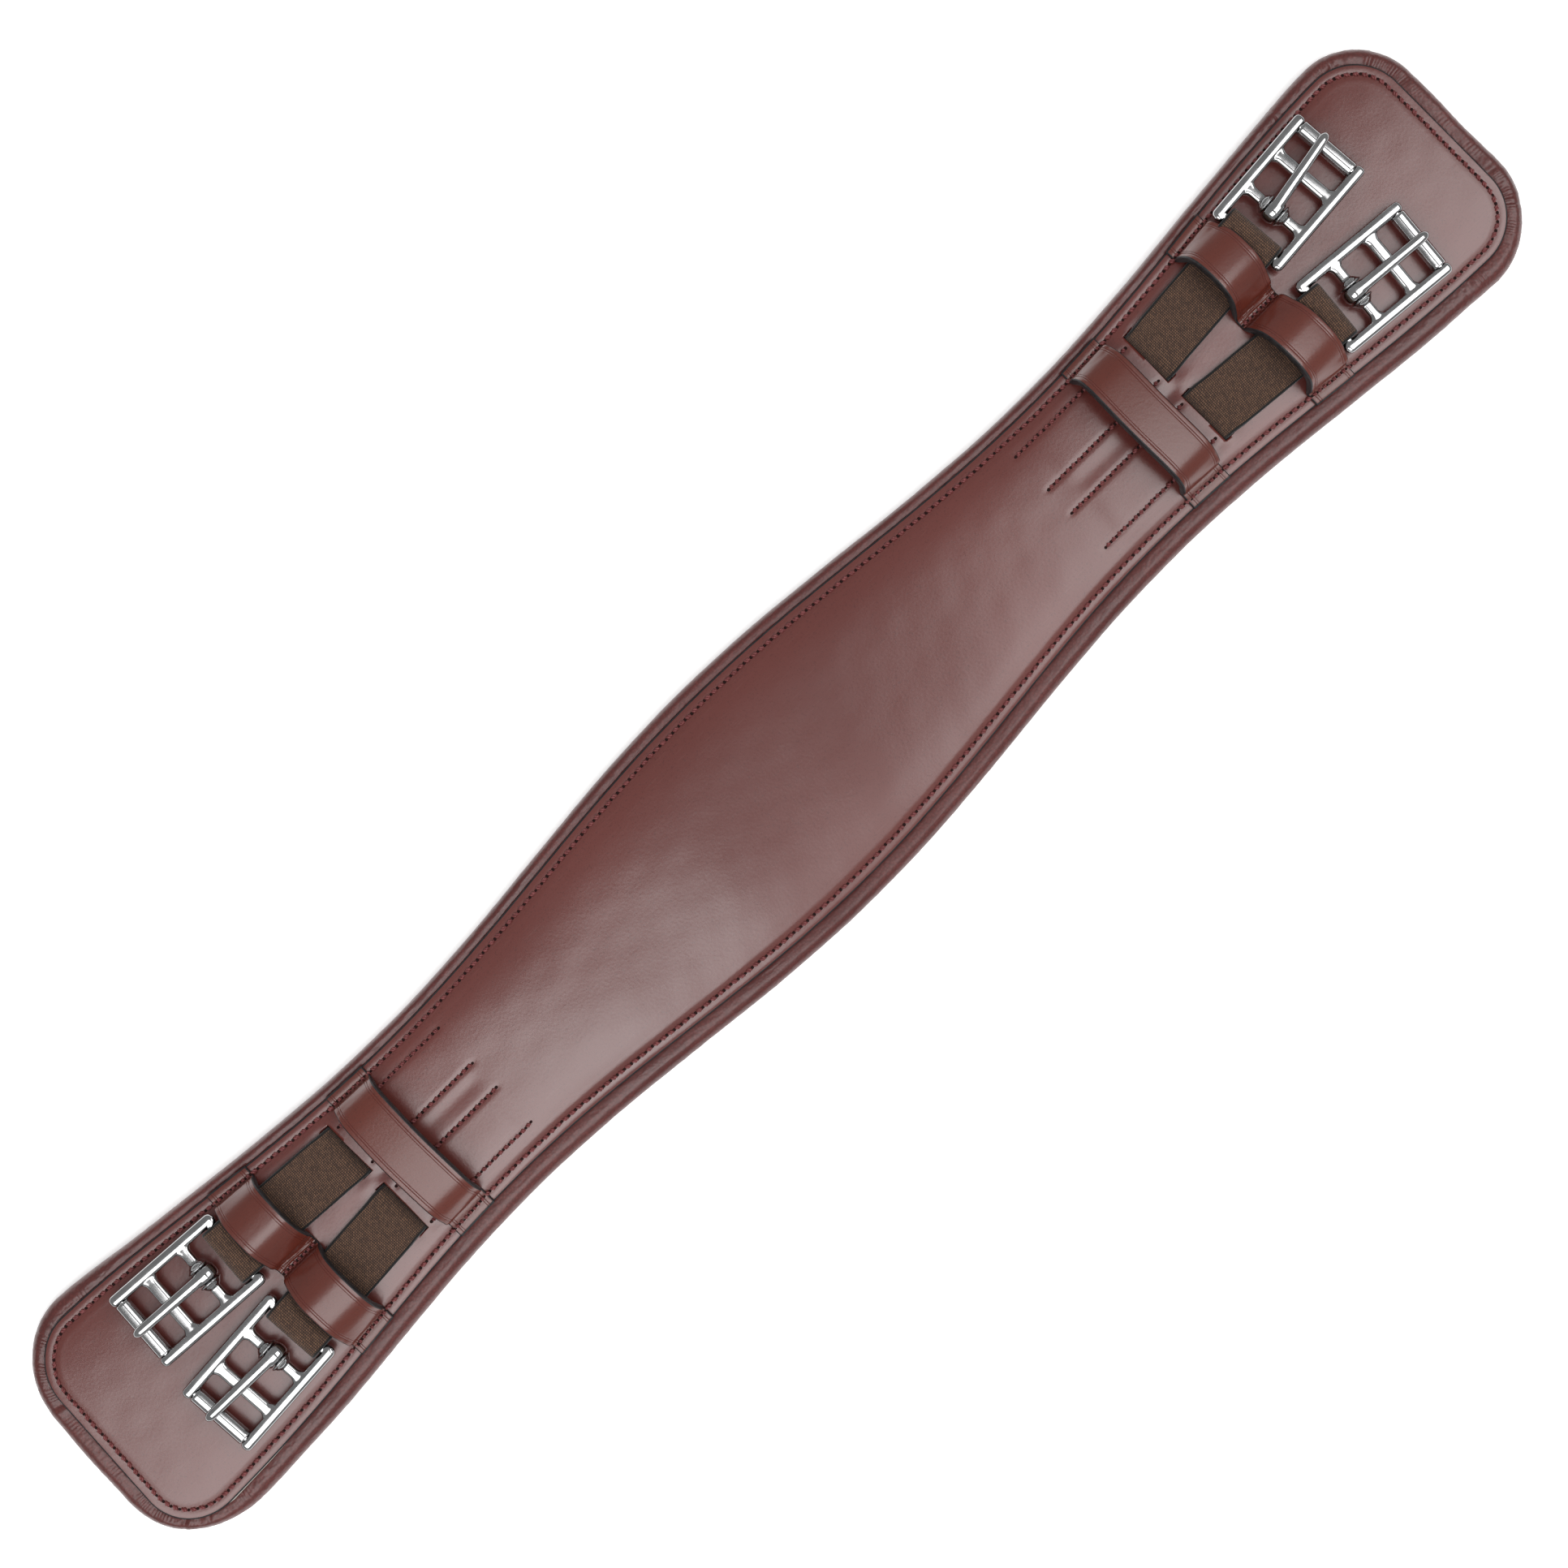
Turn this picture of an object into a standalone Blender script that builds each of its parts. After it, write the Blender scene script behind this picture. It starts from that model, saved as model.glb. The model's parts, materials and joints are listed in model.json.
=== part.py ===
"""Short padded leather saddle girth with elastic straps and roller buckles.

The girth lies flat on its padded underside, leather panel up. The origin is the middle of
the underside, +Z is up, +X runs along the girth to its near-side end and +Y points to its
front edge. Lengths are in metres.
"""
import math

import bmesh
import bpy
from mathutils import Matrix, Vector

CLEARANCE = 0.0003
MERGE_DISTANCE = 0.000005

# Plan shape of the girth: two swells and a waist between them, repeated on both sides.
HALF_LENGTH = 0.424
WAIST_HALF_WIDTH = 0.049
SWELL = 0.0138
WAIST_X = 0.200
CORNER_RADIUS = 0.0345
SIDE_STEPS = 16
CORNER_STEPS = 6

# The panel is set out from a line of its own, a little short of the padded rim at the ends.
PANEL_LINE_LENGTH = 0.422
PANEL_LINE_RADIUS = 0.031

# Layers, from the ground up.
LINING_THICKNESS = 0.0014
ROLL_HEIGHT = 0.0124
ROLL_RADIUS = 0.0060
CAVITY_INSET = 0.0090
FOAM_INSET = CAVITY_INSET + CLEARANCE
WEBBING_LENGTH = 0.470
WEBBING_WIDTH = 0.062
WEBBING_Y = 0.003
WEBBING_BOTTOM = 0.0071
WEBBING_TOP = 0.0083
TAIL_BOTTOM = WEBBING_TOP + CLEARANCE
PANEL_BOTTOM = ROLL_HEIGHT + CLEARANCE
PANEL_THICKNESS = 0.0026
PANEL_TOP = PANEL_BOTTOM + PANEL_THICKNESS
PANEL_INSET = 0.0070
PANEL_ROUNDING = 0.0005

# Elastic straps: a band folded double round the buckle's base bar.
ELASTIC_WIDTH = 0.0272
ELASTIC_PLY = 0.0019
ELASTIC_THICKNESS = 2 * ELASTIC_PLY
TAIL_LENGTH = 0.070
RAMP_START = -0.0010
RAMP_END = 0.0076
LOOP_START = -0.0070
SLOT_START = -0.0026
SLOT_END = 0.0094
SLOT_HALF_WIDTH = 0.0148

# Leather keepers: bands sewn down at the panel's edges and arched over the straps.
KEEPER_THICKNESS = 0.0024
KEEPER_ROUNDING = 0.0005
KEEPER_FOOT = 0.0042
KEEPER_VALLEY = 0.0052
KEEPER_STEPS = 12
KEEPER_SHOULDER = 4
KEEPER_FILLET = 1.4
KEEPER_EDGE_GAP = 0.0015
TWIN_KEEPER_WIDTH = 0.0215
TWIN_KEEPER_HEIGHT = 0.0130
WIDE_KEEPER_WIDTH = 0.0212
WIDE_KEEPER_HEIGHT = 0.0124

# Roller buckle. Its own frame has the base bar on Y, and X runs out to the roller.
BUCKLE_Z = PANEL_TOP + 0.0060
FRAME_THICKNESS = 0.0044
FRAME_ROUNDING = 0.0016
WINDOW_CORNER = 0.0032
RAIL_INNER = 0.0148
RAIL_OUTER = 0.0196
RAIL_TAPER = 0.0001
EYE_INNER = 0.0147
EYE_OUTER = 0.0199
RAIL_START = -0.0032
RAIL_END = 0.0535
HEEL_RADIUS = 0.0009
BASE_BAR_WIDTH = 0.0042
TONGUE_BAR_X = 0.0163
TONGUE_BAR_WIDTH = 0.0040
MIDDLE_BAR_X = 0.0360
MIDDLE_BAR_WIDTH = 0.0044
COLLAR_RADIUS = 0.0047
COLLAR_INNER = 0.0030
COLLAR_OUTER = 0.0066
ROLLER_X = 0.0517
ROLLER_RADIUS = 0.0036
ROLLER_BORE = 0.0026
ROLLER_LENGTH = 0.0290
PIN_RADIUS = 0.0022
PIN_LENGTH = 0.0392
EYE_BORE = PIN_RADIUS + CLEARANCE
TONGUE_LOOP_RADIUS = 0.0056
TONGUE_LOOP_BORE = 0.0027
TONGUE_LOOP_WIDTH = 0.0054
TONGUE_REACH = 0.0405
TONGUE_ROOT_RADIUS = 0.0021
TONGUE_TIP_RADIUS = 0.0015

# Each strap: the end of the girth it is on, its slot and its buckle's base bar, and how far
# the loose tongue leans sideways, in degrees.
STRAPS = {
    "near_front": {"end": 1, "slot": (0.2503, 0.0214), "base": (0.3182, 0.0270), "tongue": 6.0},
    "near_rear": {"end": 1, "slot": (0.2503, -0.0150), "base": (0.3186, -0.0211), "tongue": 0.0},
    "off_front": {"end": -1, "slot": (-0.2442, 0.0208), "base": (-0.3107, 0.0250), "tongue": 0.0},
    "off_rear": {"end": -1, "slot": (-0.2442, -0.0142), "base": (-0.3138, -0.0191), "tongue": 5.0},
}

# Each end: the keepers' places along the girth, the twin keeper's sewn valley and its lean.
ENDS = {
    "near": {"end": 1, "twin_x": 0.2994, "wide_x": 0.2293, "valley_y": 0.0032, "lean": 0.0033},
    "off": {"end": -1, "twin_x": 0.2932, "wide_x": 0.2256, "valley_y": 0.0028, "lean": 0.0008},
}

LEATHER = {"colour": (0.155, 0.050, 0.042), "roughness": 0.38, "metallic": 0.0}
SOFT_LEATHER = {"colour": (0.170, 0.058, 0.048), "roughness": 0.45, "metallic": 0.0}
KEEPER_LEATHER = {"colour": (0.175, 0.050, 0.032), "roughness": 0.36, "metallic": 0.0}
ELASTIC = {"colour": (0.060, 0.036, 0.020), "roughness": 0.85, "metallic": 0.0}
FOAM = {"colour": (0.550, 0.530, 0.480), "roughness": 0.95, "metallic": 0.0}
WEBBING = {"colour": (0.040, 0.040, 0.045), "roughness": 0.80, "metallic": 0.0}
STEEL = {"colour": (0.800, 0.800, 0.800), "roughness": 0.14, "metallic": 1.0}


def clear_scene():
    for item in list(bpy.data.objects):
        bpy.data.objects.remove(item, do_unlink=True)


def new_collection(name):
    collection = bpy.data.collections.new(name)
    bpy.context.scene.collection.children.link(collection)
    return collection


def new_material(name, look):
    material = bpy.data.materials.new(name)
    material.use_nodes = True
    shader = material.node_tree.nodes["Principled BSDF"]
    shader.inputs["Base Color"].default_value = (*look["colour"], 1.0)
    shader.inputs["Roughness"].default_value = look["roughness"]
    shader.inputs["Metallic"].default_value = look["metallic"]
    material.diffuse_color = (*look["colour"], 1.0)
    return material


def extruded_mesh(name, loops, low, high, rounding=0.0, rounding_steps=1):
    """Closed mesh of a flat outline in XY, with holes, between two heights on Z.

    The rounded edge grows the outline by the rounding, so the loops are drawn that much
    smaller than the finished shape, and its holes that much larger."""
    curve = bpy.data.curves.new(name, "CURVE")
    curve.dimensions = "2D"
    curve.fill_mode = "BOTH"
    curve.extrude = (high - low) / 2 - rounding
    curve.bevel_depth = rounding
    curve.bevel_resolution = rounding_steps
    for loop in loops:
        spline = curve.splines.new("POLY")
        spline.points.add(len(loop) - 1)
        for point, (x, y) in zip(spline.points, loop):
            point.co = (x, y, 0.0, 1.0)
        spline.use_cyclic_u = True
    outline = bpy.data.objects.new(name, curve)
    bpy.context.scene.collection.objects.link(outline)
    mesh = welded_mesh(outline)
    mesh.transform(Matrix.Translation((0.0, 0.0, (low + high) / 2)))
    bpy.data.objects.remove(outline, do_unlink=True)
    return mesh


def welded_mesh(source):
    """Evaluated mesh of an object, with loose caps joined and faces pointing out."""
    depsgraph = bpy.context.evaluated_depsgraph_get()
    depsgraph.update()
    mesh = bpy.data.meshes.new_from_object(source.evaluated_get(depsgraph))
    shape = bmesh.new()
    shape.from_mesh(mesh)
    bmesh.ops.remove_doubles(shape, verts=shape.verts, dist=MERGE_DISTANCE)
    bmesh.ops.recalc_face_normals(shape, faces=shape.faces)
    shape.to_mesh(mesh)
    shape.free()
    return mesh


def cylinder_mesh(name, radius, low, high, segments):
    """Closed cylinder along Y, between two places on Y."""
    shape = bmesh.new()
    bmesh.ops.create_cone(shape, cap_ends=True, segments=segments, radius1=radius,
                          radius2=radius, depth=high - low)
    bmesh.ops.rotate(shape, verts=shape.verts, matrix=Matrix.Rotation(math.pi / 2, 3, "X"))
    bmesh.ops.translate(shape, verts=shape.verts, vec=(0.0, (low + high) / 2, 0.0))
    mesh = bpy.data.meshes.new(name)
    shape.to_mesh(mesh)
    shape.free()
    return mesh


def box_mesh(name, low, high):
    """Closed box between two corners."""
    low = Vector(low)
    high = Vector(high)
    shape = bmesh.new()
    bmesh.ops.create_cube(shape, size=1.0)
    bmesh.ops.scale(shape, verts=shape.verts, vec=high - low)
    bmesh.ops.translate(shape, verts=shape.verts, vec=(high + low) / 2)
    mesh = bpy.data.meshes.new(name)
    shape.to_mesh(mesh)
    shape.free()
    return mesh


def add_part(name, mesh, look, placed=None, parent=None):
    """Put a mesh in the part's collection as a named piece with its own material."""
    mesh.shade_smooth()
    mesh.set_sharp_from_angle(angle=math.radians(35))
    part = bpy.data.objects.new(name, mesh)
    PARTS.objects.link(part)
    if not mesh.materials:
        mesh.materials.append(None)
    part.material_slots[0].link = "OBJECT"
    part.material_slots[0].material = new_material(name, look)
    if parent is not None:
        part.parent = parent
    if placed is not None:
        part.matrix_basis = placed
    return part


def add_tool(name, mesh, placed=None):
    """Put a mesh in the cutters' collection, as a shape that only modifies others."""
    tool = bpy.data.objects.new(name, mesh)
    CUTTERS.objects.link(tool)
    tool.hide_render = True
    tool.display_type = "WIRE"
    if placed is not None:
        tool.matrix_basis = placed
    return tool


def add_boolean(target, tool, operation):
    modifier = target.modifiers.new(tool.name, "BOOLEAN")
    modifier.operation = operation
    modifier.solver = "EXACT"
    modifier.object = tool


def combined_mesh(base, steps):
    """Mesh of a base with (operation, tool mesh) steps carried out on it."""
    target = add_tool(base.name, base)
    tools = [add_tool(mesh.name, mesh) for _, mesh in steps]
    for (operation, _), tool in zip(steps, tools):
        add_boolean(target, tool, operation)
    mesh = welded_mesh(target)
    for item in [target, *tools]:
        bpy.data.objects.remove(item, do_unlink=True)
    return mesh


def half_width(x):
    """Half width of the girth at a distance along it from the middle."""
    return WAIST_HALF_WIDTH + SWELL * (0.5 + 0.5 * math.cos(math.pi * x / WAIST_X))


def girth_outline(inset, half_length=HALF_LENGTH, corner_radius=CORNER_RADIUS):
    """Closed outline moved in by the inset from a line of this half length and corner."""
    corner_x = half_length - corner_radius
    corner_y = half_width(corner_x) - corner_radius
    quarter = []
    for step in range(SIDE_STEPS):
        x = corner_x * step / SIDE_STEPS
        quarter.append((x, half_width(x) - inset))
    for step in range(CORNER_STEPS + 1):
        angle = math.pi / 2 * (1 - step / CORNER_STEPS)
        reach = corner_radius - inset
        quarter.append((corner_x + reach * math.cos(angle), corner_y + reach * math.sin(angle)))
    lower = [(x, -y) for x, y in reversed(quarter)]
    right = quarter + lower
    left = [(-x, y) for x, y in reversed(right[1:-1])]
    return right + left


def rounded_loop(corners, radius, steps=2):
    """Closed loop through the corners, anticlockwise, each rounded to the same radius."""
    loop = []
    for index, corner in enumerate(corners):
        here = Vector(corner)
        before = (Vector(corners[index - 1]) - here).normalized()
        after = (Vector(corners[(index + 1) % len(corners)]) - here).normalized()
        centre = here + (before + after) * radius
        start = -after
        end = -before
        for step in range(steps + 1):
            turn = math.pi / 2 * step / steps
            offset = start * math.cos(turn) + end * math.sin(turn)
            loop.append(tuple(centre + offset * radius))
    return loop


def band_outline(path, thickness):
    """Closed outline of a band that follows a path and is built up on its left side."""
    points = [Vector(point) for point in path]
    outer = []
    for index, point in enumerate(points):
        along_in = (point - points[max(index - 1, 0)]).normalized()
        along_out = (points[min(index + 1, len(points) - 1)] - point).normalized()
        bisector = (along_in + along_out).normalized()
        normal = Vector((-bisector.y, bisector.x))
        squareness = max(abs(bisector.dot(along_in)), abs(bisector.dot(along_out)))
        outer.append(point + normal * thickness / squareness)
    return [tuple(point) for point in points] + [tuple(point) for point in reversed(outer)]


def arch_path(start, end, height):
    """Points from one foot of an arch over its flat crown to the other foot.

    The shoulder exponent squares the crown off, and the fillet exponent softens the feet."""
    middle = (start + end) / 2
    half_span = (end - start) / 2
    path = []
    for step in range(KEEPER_STEPS + 1):
        across = 2 * step / KEEPER_STEPS - 1
        rise = max(1 - across ** KEEPER_SHOULDER, 0.0) ** KEEPER_FILLET
        path.append((middle + half_span * across, height * rise))
    return path


def keeper_mesh(name, path, width, lean):
    """Band over the path in YZ, extruded along X and leaning along X as it rises."""
    reach = width / 2
    outline = band_outline(path, KEEPER_THICKNESS - 2 * KEEPER_ROUNDING)
    outline = [(y, z + KEEPER_ROUNDING) for y, z in outline]
    mesh = extruded_mesh(name, [outline], -reach, reach, KEEPER_ROUNDING, 0)
    stand = Matrix(((0, 0, 1, 0), (1, 0, 0, 0), (0, 1, 0, 0), (0, 0, 0, 1)))
    shear = Matrix.Identity(4)
    shear[0][2] = lean
    mesh.transform(shear @ stand)
    return mesh


def add_keepers(end_name, place):
    """The twin keeper beside the buckles and the wide keeper inboard of the slots."""
    edge = half_width(place["twin_x"]) - PANEL_INSET - KEEPER_EDGE_GAP
    valley = place["valley_y"]
    path = [(-edge, 0.0)]
    path += arch_path(-edge + KEEPER_FOOT, valley - KEEPER_VALLEY / 2, TWIN_KEEPER_HEIGHT)
    path += arch_path(valley + KEEPER_VALLEY / 2, edge - KEEPER_FOOT, TWIN_KEEPER_HEIGHT)
    path.append((edge, 0.0))
    lean = place["end"] * place["lean"] / TWIN_KEEPER_HEIGHT
    mesh = keeper_mesh("twin_keeper", path, TWIN_KEEPER_WIDTH, lean)
    centre = (place["end"] * place["twin_x"], 0.0, PANEL_TOP + CLEARANCE)
    add_part("twin_keeper_" + end_name, mesh, KEEPER_LEATHER, Matrix.Translation(centre))

    edge = half_width(place["wide_x"]) - PANEL_INSET - KEEPER_EDGE_GAP
    path = [(-edge, 0.0)]
    path += arch_path(-edge + KEEPER_FOOT, edge - KEEPER_FOOT, WIDE_KEEPER_HEIGHT)
    path.append((edge, 0.0))
    mesh = keeper_mesh("wide_keeper", path, WIDE_KEEPER_WIDTH, 0.0)
    centre = (place["end"] * place["wide_x"], 0.0, PANEL_TOP + CLEARANCE)
    add_part("wide_keeper_" + end_name, mesh, KEEPER_LEATHER, Matrix.Translation(centre))


def strap_heading(strap):
    """Direction of a strap from its slot to its buckle, as an angle about Z."""
    run_x = strap["base"][0] - strap["slot"][0]
    run_y = strap["base"][1] - strap["slot"][1]
    return math.atan2(run_y, run_x)


def strap_length(strap):
    run_x = strap["base"][0] - strap["slot"][0]
    run_y = strap["base"][1] - strap["slot"][1]
    return math.hypot(run_x, run_y)


def slot_placing(strap):
    """Matrix from the slot's frame, X outwards along the girth, to the girth's."""
    turn = Matrix.Rotation(0.0 if strap["end"] > 0 else math.pi, 4, "Z")
    return Matrix.Translation((*strap["slot"], 0.0)) @ turn


def standing(mesh):
    """Turn a mesh drawn in XZ as XY, and extruded on Z, so that it is extruded on Y."""
    mesh.transform(Matrix(((1, 0, 0, 0), (0, 0, -1, 0), (0, 1, 0, 0), (0, 0, 0, 1))))
    return mesh


def elastic_web_mesh(strap):
    """The strap from its sewn tail, up through the slot and along the panel.

    The tail runs straight along the girth. The free run turns to the strap's heading."""
    reach = strap_length(strap) + LOOP_START - CLEARANCE
    tail_z = TAIL_BOTTOM
    run_z = PANEL_TOP + CLEARANCE
    path = [(-TAIL_LENGTH, tail_z), (RAMP_START, tail_z), (RAMP_END, run_z), (reach, run_z)]
    outline = band_outline(path, ELASTIC_THICKNESS)
    mesh = standing(extruded_mesh("elastic_web", [outline], -ELASTIC_WIDTH / 2, ELASTIC_WIDTH / 2))
    heading = strap_heading(strap)
    if strap["end"] < 0:
        heading = heading - math.copysign(math.pi, heading)
    free_run = Matrix.Rotation(heading, 4, "Z")
    for vertex in mesh.vertices:
        if vertex.co.x > (RAMP_START + RAMP_END) / 2:
            vertex.co = free_run @ vertex.co
    return mesh


def elastic_loop_mesh():
    """The fold round the base bar, drawn in the buckle's frame."""
    run_low = PANEL_TOP + CLEARANCE - BUCKLE_Z
    run_high = run_low + ELASTIC_THICKNESS
    bore = BASE_BAR_WIDTH / 2 + 2 * CLEARANCE
    fold = bore + ELASTIC_PLY
    outer = [(LOOP_START, run_low)]
    outer += arc_points((0.0, 0.0), fold, -100, 100, 10)
    outer.append((LOOP_START, run_high))
    hole = arc_points((0.0, 0.0), bore, 0, 337.5, 15)
    mesh = extruded_mesh("elastic_loop", [outer, hole], -ELASTIC_WIDTH / 2, ELASTIC_WIDTH / 2)
    return standing(mesh)


def buckle_frame_mesh():
    """Rails, base bar, tongue bar with its collars, middle bar and the eyes for the pin."""
    grow = FRAME_ROUNDING
    rail_in = RAIL_INNER + grow
    rail_out = RAIL_OUTER - grow
    start = RAIL_START + grow
    end = RAIL_END - grow
    bars = [(0.0, BASE_BAR_WIDTH), (TONGUE_BAR_X, TONGUE_BAR_WIDTH),
            (MIDDLE_BAR_X, MIDDLE_BAR_WIDTH)]
    last = MIDDLE_BAR_X + MIDDLE_BAR_WIDTH / 2 - grow
    loops = [rounded_frame(start, end, last, rail_in, rail_out)]
    for (bar, width), (next_bar, next_width) in zip(bars, bars[1:]):
        low = bar + width / 2 - grow
        high = next_bar - next_width / 2 + grow
        rail_in -= RAIL_TAPER
        corners = [(low, -rail_in), (high, -rail_in), (high, rail_in), (low, rail_in)]
        loops.append(rounded_loop(corners, WINDOW_CORNER))
    half = FRAME_THICKNESS / 2
    base = extruded_mesh("buckle_frame", loops, -half, half, FRAME_ROUNDING, 1)
    steps = []
    for side in (-1, 1):
        collar = cylinder_mesh("collar", COLLAR_RADIUS, COLLAR_INNER, COLLAR_OUTER, 16)
        collar.transform(Matrix.Translation((TONGUE_BAR_X, 0.0, 0.0)))
        eye = cylinder_mesh("eye", ROLLER_RADIUS, EYE_INNER, EYE_OUTER, 16)
        eye.transform(Matrix.Translation((ROLLER_X, 0.0, 0.0)))
        if side < 0:
            collar.transform(Matrix.Rotation(math.pi, 4, "X"))
            eye.transform(Matrix.Rotation(math.pi, 4, "X"))
        steps += [("UNION", collar), ("UNION", eye)]
    bore = cylinder_mesh("pin_bore", EYE_BORE, -0.03, 0.03, 16)
    bore.transform(Matrix.Translation((ROLLER_X, 0.0, 0.0)))
    steps.append(("DIFFERENCE", bore))
    return combined_mesh(base, steps)


def arc_points(centre, radius, from_degrees, to_degrees, steps):
    points = []
    for step in range(steps + 1):
        angle = math.radians(from_degrees + (to_degrees - from_degrees) * step / steps)
        x = centre[0] + radius * math.cos(angle)
        y = centre[1] + radius * math.sin(angle)
        points.append((x, y))
    return points


def rounded_frame(start, end, last_bar, rail_in, rail_out):
    """Outer loop of the frame, anticlockwise. It is open at the roller's end."""
    base_edge = FRAME_ROUNDING - BASE_BAR_WIDTH / 2
    heel = (start + HEEL_RADIUS, rail_out - HEEL_RADIUS)
    corner = (last_bar + WINDOW_CORNER, rail_in - WINDOW_CORNER)
    half = arc_points(corner, WINDOW_CORNER, 180, 90, 2)
    half += [(end, rail_in), (end, rail_out)]
    half += arc_points(heel, HEEL_RADIUS, 90, 180, 2)
    half += [(start, rail_in + RAIL_TAPER), (base_edge, rail_in - WINDOW_CORNER / 8)]
    return [(x, -y) for x, y in reversed(half)] + half


def buckle_tongue_mesh(lean_degrees):
    """A loop round the tongue bar and a tapering prong. The origin is the bar's axis."""
    half = TONGUE_LOOP_WIDTH / 2
    base = cylinder_mesh("buckle_tongue", TONGUE_LOOP_RADIUS, -half, half, 20)
    rest_height = ROLLER_RADIUS + CLEARANCE + TONGUE_TIP_RADIUS
    roller_reach = ROLLER_X - TONGUE_BAR_X
    root_z = TONGUE_LOOP_RADIUS - TONGUE_ROOT_RADIUS
    rise = rest_height - root_z
    points = [(0.0, root_z), (TONGUE_REACH / 4, root_z + 0.3 * rise),
              (TONGUE_REACH / 2, root_z + 0.8 * rise), (roller_reach, rest_height + CLEARANCE),
              (TONGUE_REACH, rest_height)]
    curve = bpy.data.curves.new("prong", "CURVE")
    curve.dimensions = "3D"
    curve.bevel_depth = TONGUE_ROOT_RADIUS
    curve.bevel_resolution = 2
    curve.use_fill_caps = True
    spline = curve.splines.new("POLY")
    spline.points.add(len(points) - 1)
    for point, (x, z) in zip(spline.points, points):
        point.co = (x, 0.0, z, 1.0)
        along = x / TONGUE_REACH
        point.radius = 1.0 + (TONGUE_TIP_RADIUS / TONGUE_ROOT_RADIUS - 1.0) * along
    prong_curve = bpy.data.objects.new("prong", curve)
    bpy.context.scene.collection.objects.link(prong_curve)
    prong = welded_mesh(prong_curve)
    bpy.data.objects.remove(prong_curve, do_unlink=True)
    prong.transform(Matrix.Rotation(math.radians(lean_degrees), 4, "Z"))
    bore = cylinder_mesh("tongue_bore", TONGUE_LOOP_BORE, -0.01, 0.01, 16)
    return combined_mesh(base, [("UNION", prong), ("DIFFERENCE", bore)])


def roller_mesh():
    """Open tube along Y, with its origin on its axis."""
    rings = [arc_points((0.0, 0.0), radius, 0, 342, 19) for radius in (ROLLER_RADIUS, ROLLER_BORE)]
    mesh = extruded_mesh("roller", rings, -ROLLER_LENGTH / 2, ROLLER_LENGTH / 2)
    return standing(mesh)


def add_girth_body():
    """Lining with its rolled rim, two foam layers, webbing and the slotted panel."""
    lining = extruded_mesh("padded_lining", [girth_outline(ROLL_RADIUS)], 0.0, ROLL_HEIGHT,
                           ROLL_RADIUS, 3)
    lining = add_part("padded_lining", lining, SOFT_LEATHER)
    cavity = extruded_mesh("cavity", [girth_outline(CAVITY_INSET)], LINING_THICKNESS,
                           ROLL_HEIGHT + 0.01)
    add_boolean(lining, add_tool("lining_cavity", cavity), "DIFFERENCE")

    foam_outline = girth_outline(FOAM_INSET)
    base = extruded_mesh("foam_base", [foam_outline], LINING_THICKNESS + CLEARANCE, WEBBING_TOP)
    base = add_part("foam_base", base, FOAM)
    half_length = WEBBING_LENGTH / 2
    low_y = WEBBING_Y - WEBBING_WIDTH / 2
    high_y = WEBBING_Y + WEBBING_WIDTH / 2
    gap = CLEARANCE
    recess = box_mesh("webbing_recess", (-half_length - gap, low_y - gap, WEBBING_BOTTOM - gap),
                      (half_length + gap, high_y + gap, WEBBING_TOP + 0.01))
    add_boolean(base, add_tool("webbing_recess", recess), "DIFFERENCE")
    webbing = box_mesh("core_webbing", (-half_length, low_y, WEBBING_BOTTOM),
                       (half_length, high_y, WEBBING_TOP))
    add_part("core_webbing", webbing, WEBBING)

    top = extruded_mesh("foam_top", [foam_outline], TAIL_BOTTOM, ROLL_HEIGHT)
    top = add_part("foam_top", top, FOAM)
    panel_outline = girth_outline(PANEL_INSET + PANEL_ROUNDING, PANEL_LINE_LENGTH,
                                  PANEL_LINE_RADIUS)
    panel = extruded_mesh("outer_panel", [panel_outline], PANEL_BOTTOM, PANEL_TOP,
                          PANEL_ROUNDING, 0)
    panel = add_part("outer_panel", panel, LEATHER)
    for strap_name, strap in STRAPS.items():
        pocket = box_mesh("pocket", (-TAIL_LENGTH - gap, -SLOT_HALF_WIDTH, 0.0),
                          (SLOT_END, SLOT_HALF_WIDTH, PANEL_BOTTOM))
        pocket = add_tool("tail_pocket_" + strap_name, pocket, slot_placing(strap))
        add_boolean(top, pocket, "DIFFERENCE")
        slot = box_mesh("slot", (SLOT_START, -SLOT_HALF_WIDTH, 0.0),
                        (SLOT_END, SLOT_HALF_WIDTH, PANEL_TOP + 0.01))
        slot = add_tool("strap_slot_" + strap_name, slot, slot_placing(strap))
        add_boolean(panel, slot, "DIFFERENCE")


def add_buckle(strap_name, strap, meshes):
    """One elastic strap, and the buckle that hangs on its loop."""
    add_part("elastic_web_" + strap_name, elastic_web_mesh(strap), ELASTIC, slot_placing(strap))
    strap_end = bpy.data.objects.new("strap_end_" + strap_name, None)
    PARTS.objects.link(strap_end)
    strap_end.empty_display_size = 0.01
    strap_end.location = (*strap["base"], BUCKLE_Z)
    strap_end.rotation_euler = (0.0, 0.0, strap_heading(strap))
    add_part("elastic_loop_" + strap_name, meshes["loop"], ELASTIC, parent=strap_end)
    frame = add_part("buckle_frame_" + strap_name, meshes["frame"], STEEL, parent=strap_end)
    tongue_place = Matrix.Translation((TONGUE_BAR_X, 0.0, 0.0))
    roller_place = Matrix.Translation((ROLLER_X, 0.0, 0.0))
    lean = strap["tongue"] * strap["end"]
    add_part("buckle_tongue_" + strap_name, buckle_tongue_mesh(lean), STEEL, tongue_place, frame)
    add_part("roller_pin_" + strap_name, meshes["pin"], STEEL, roller_place, frame)
    add_part("buckle_roller_" + strap_name, meshes["roller"], STEEL, roller_place, frame)


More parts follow.
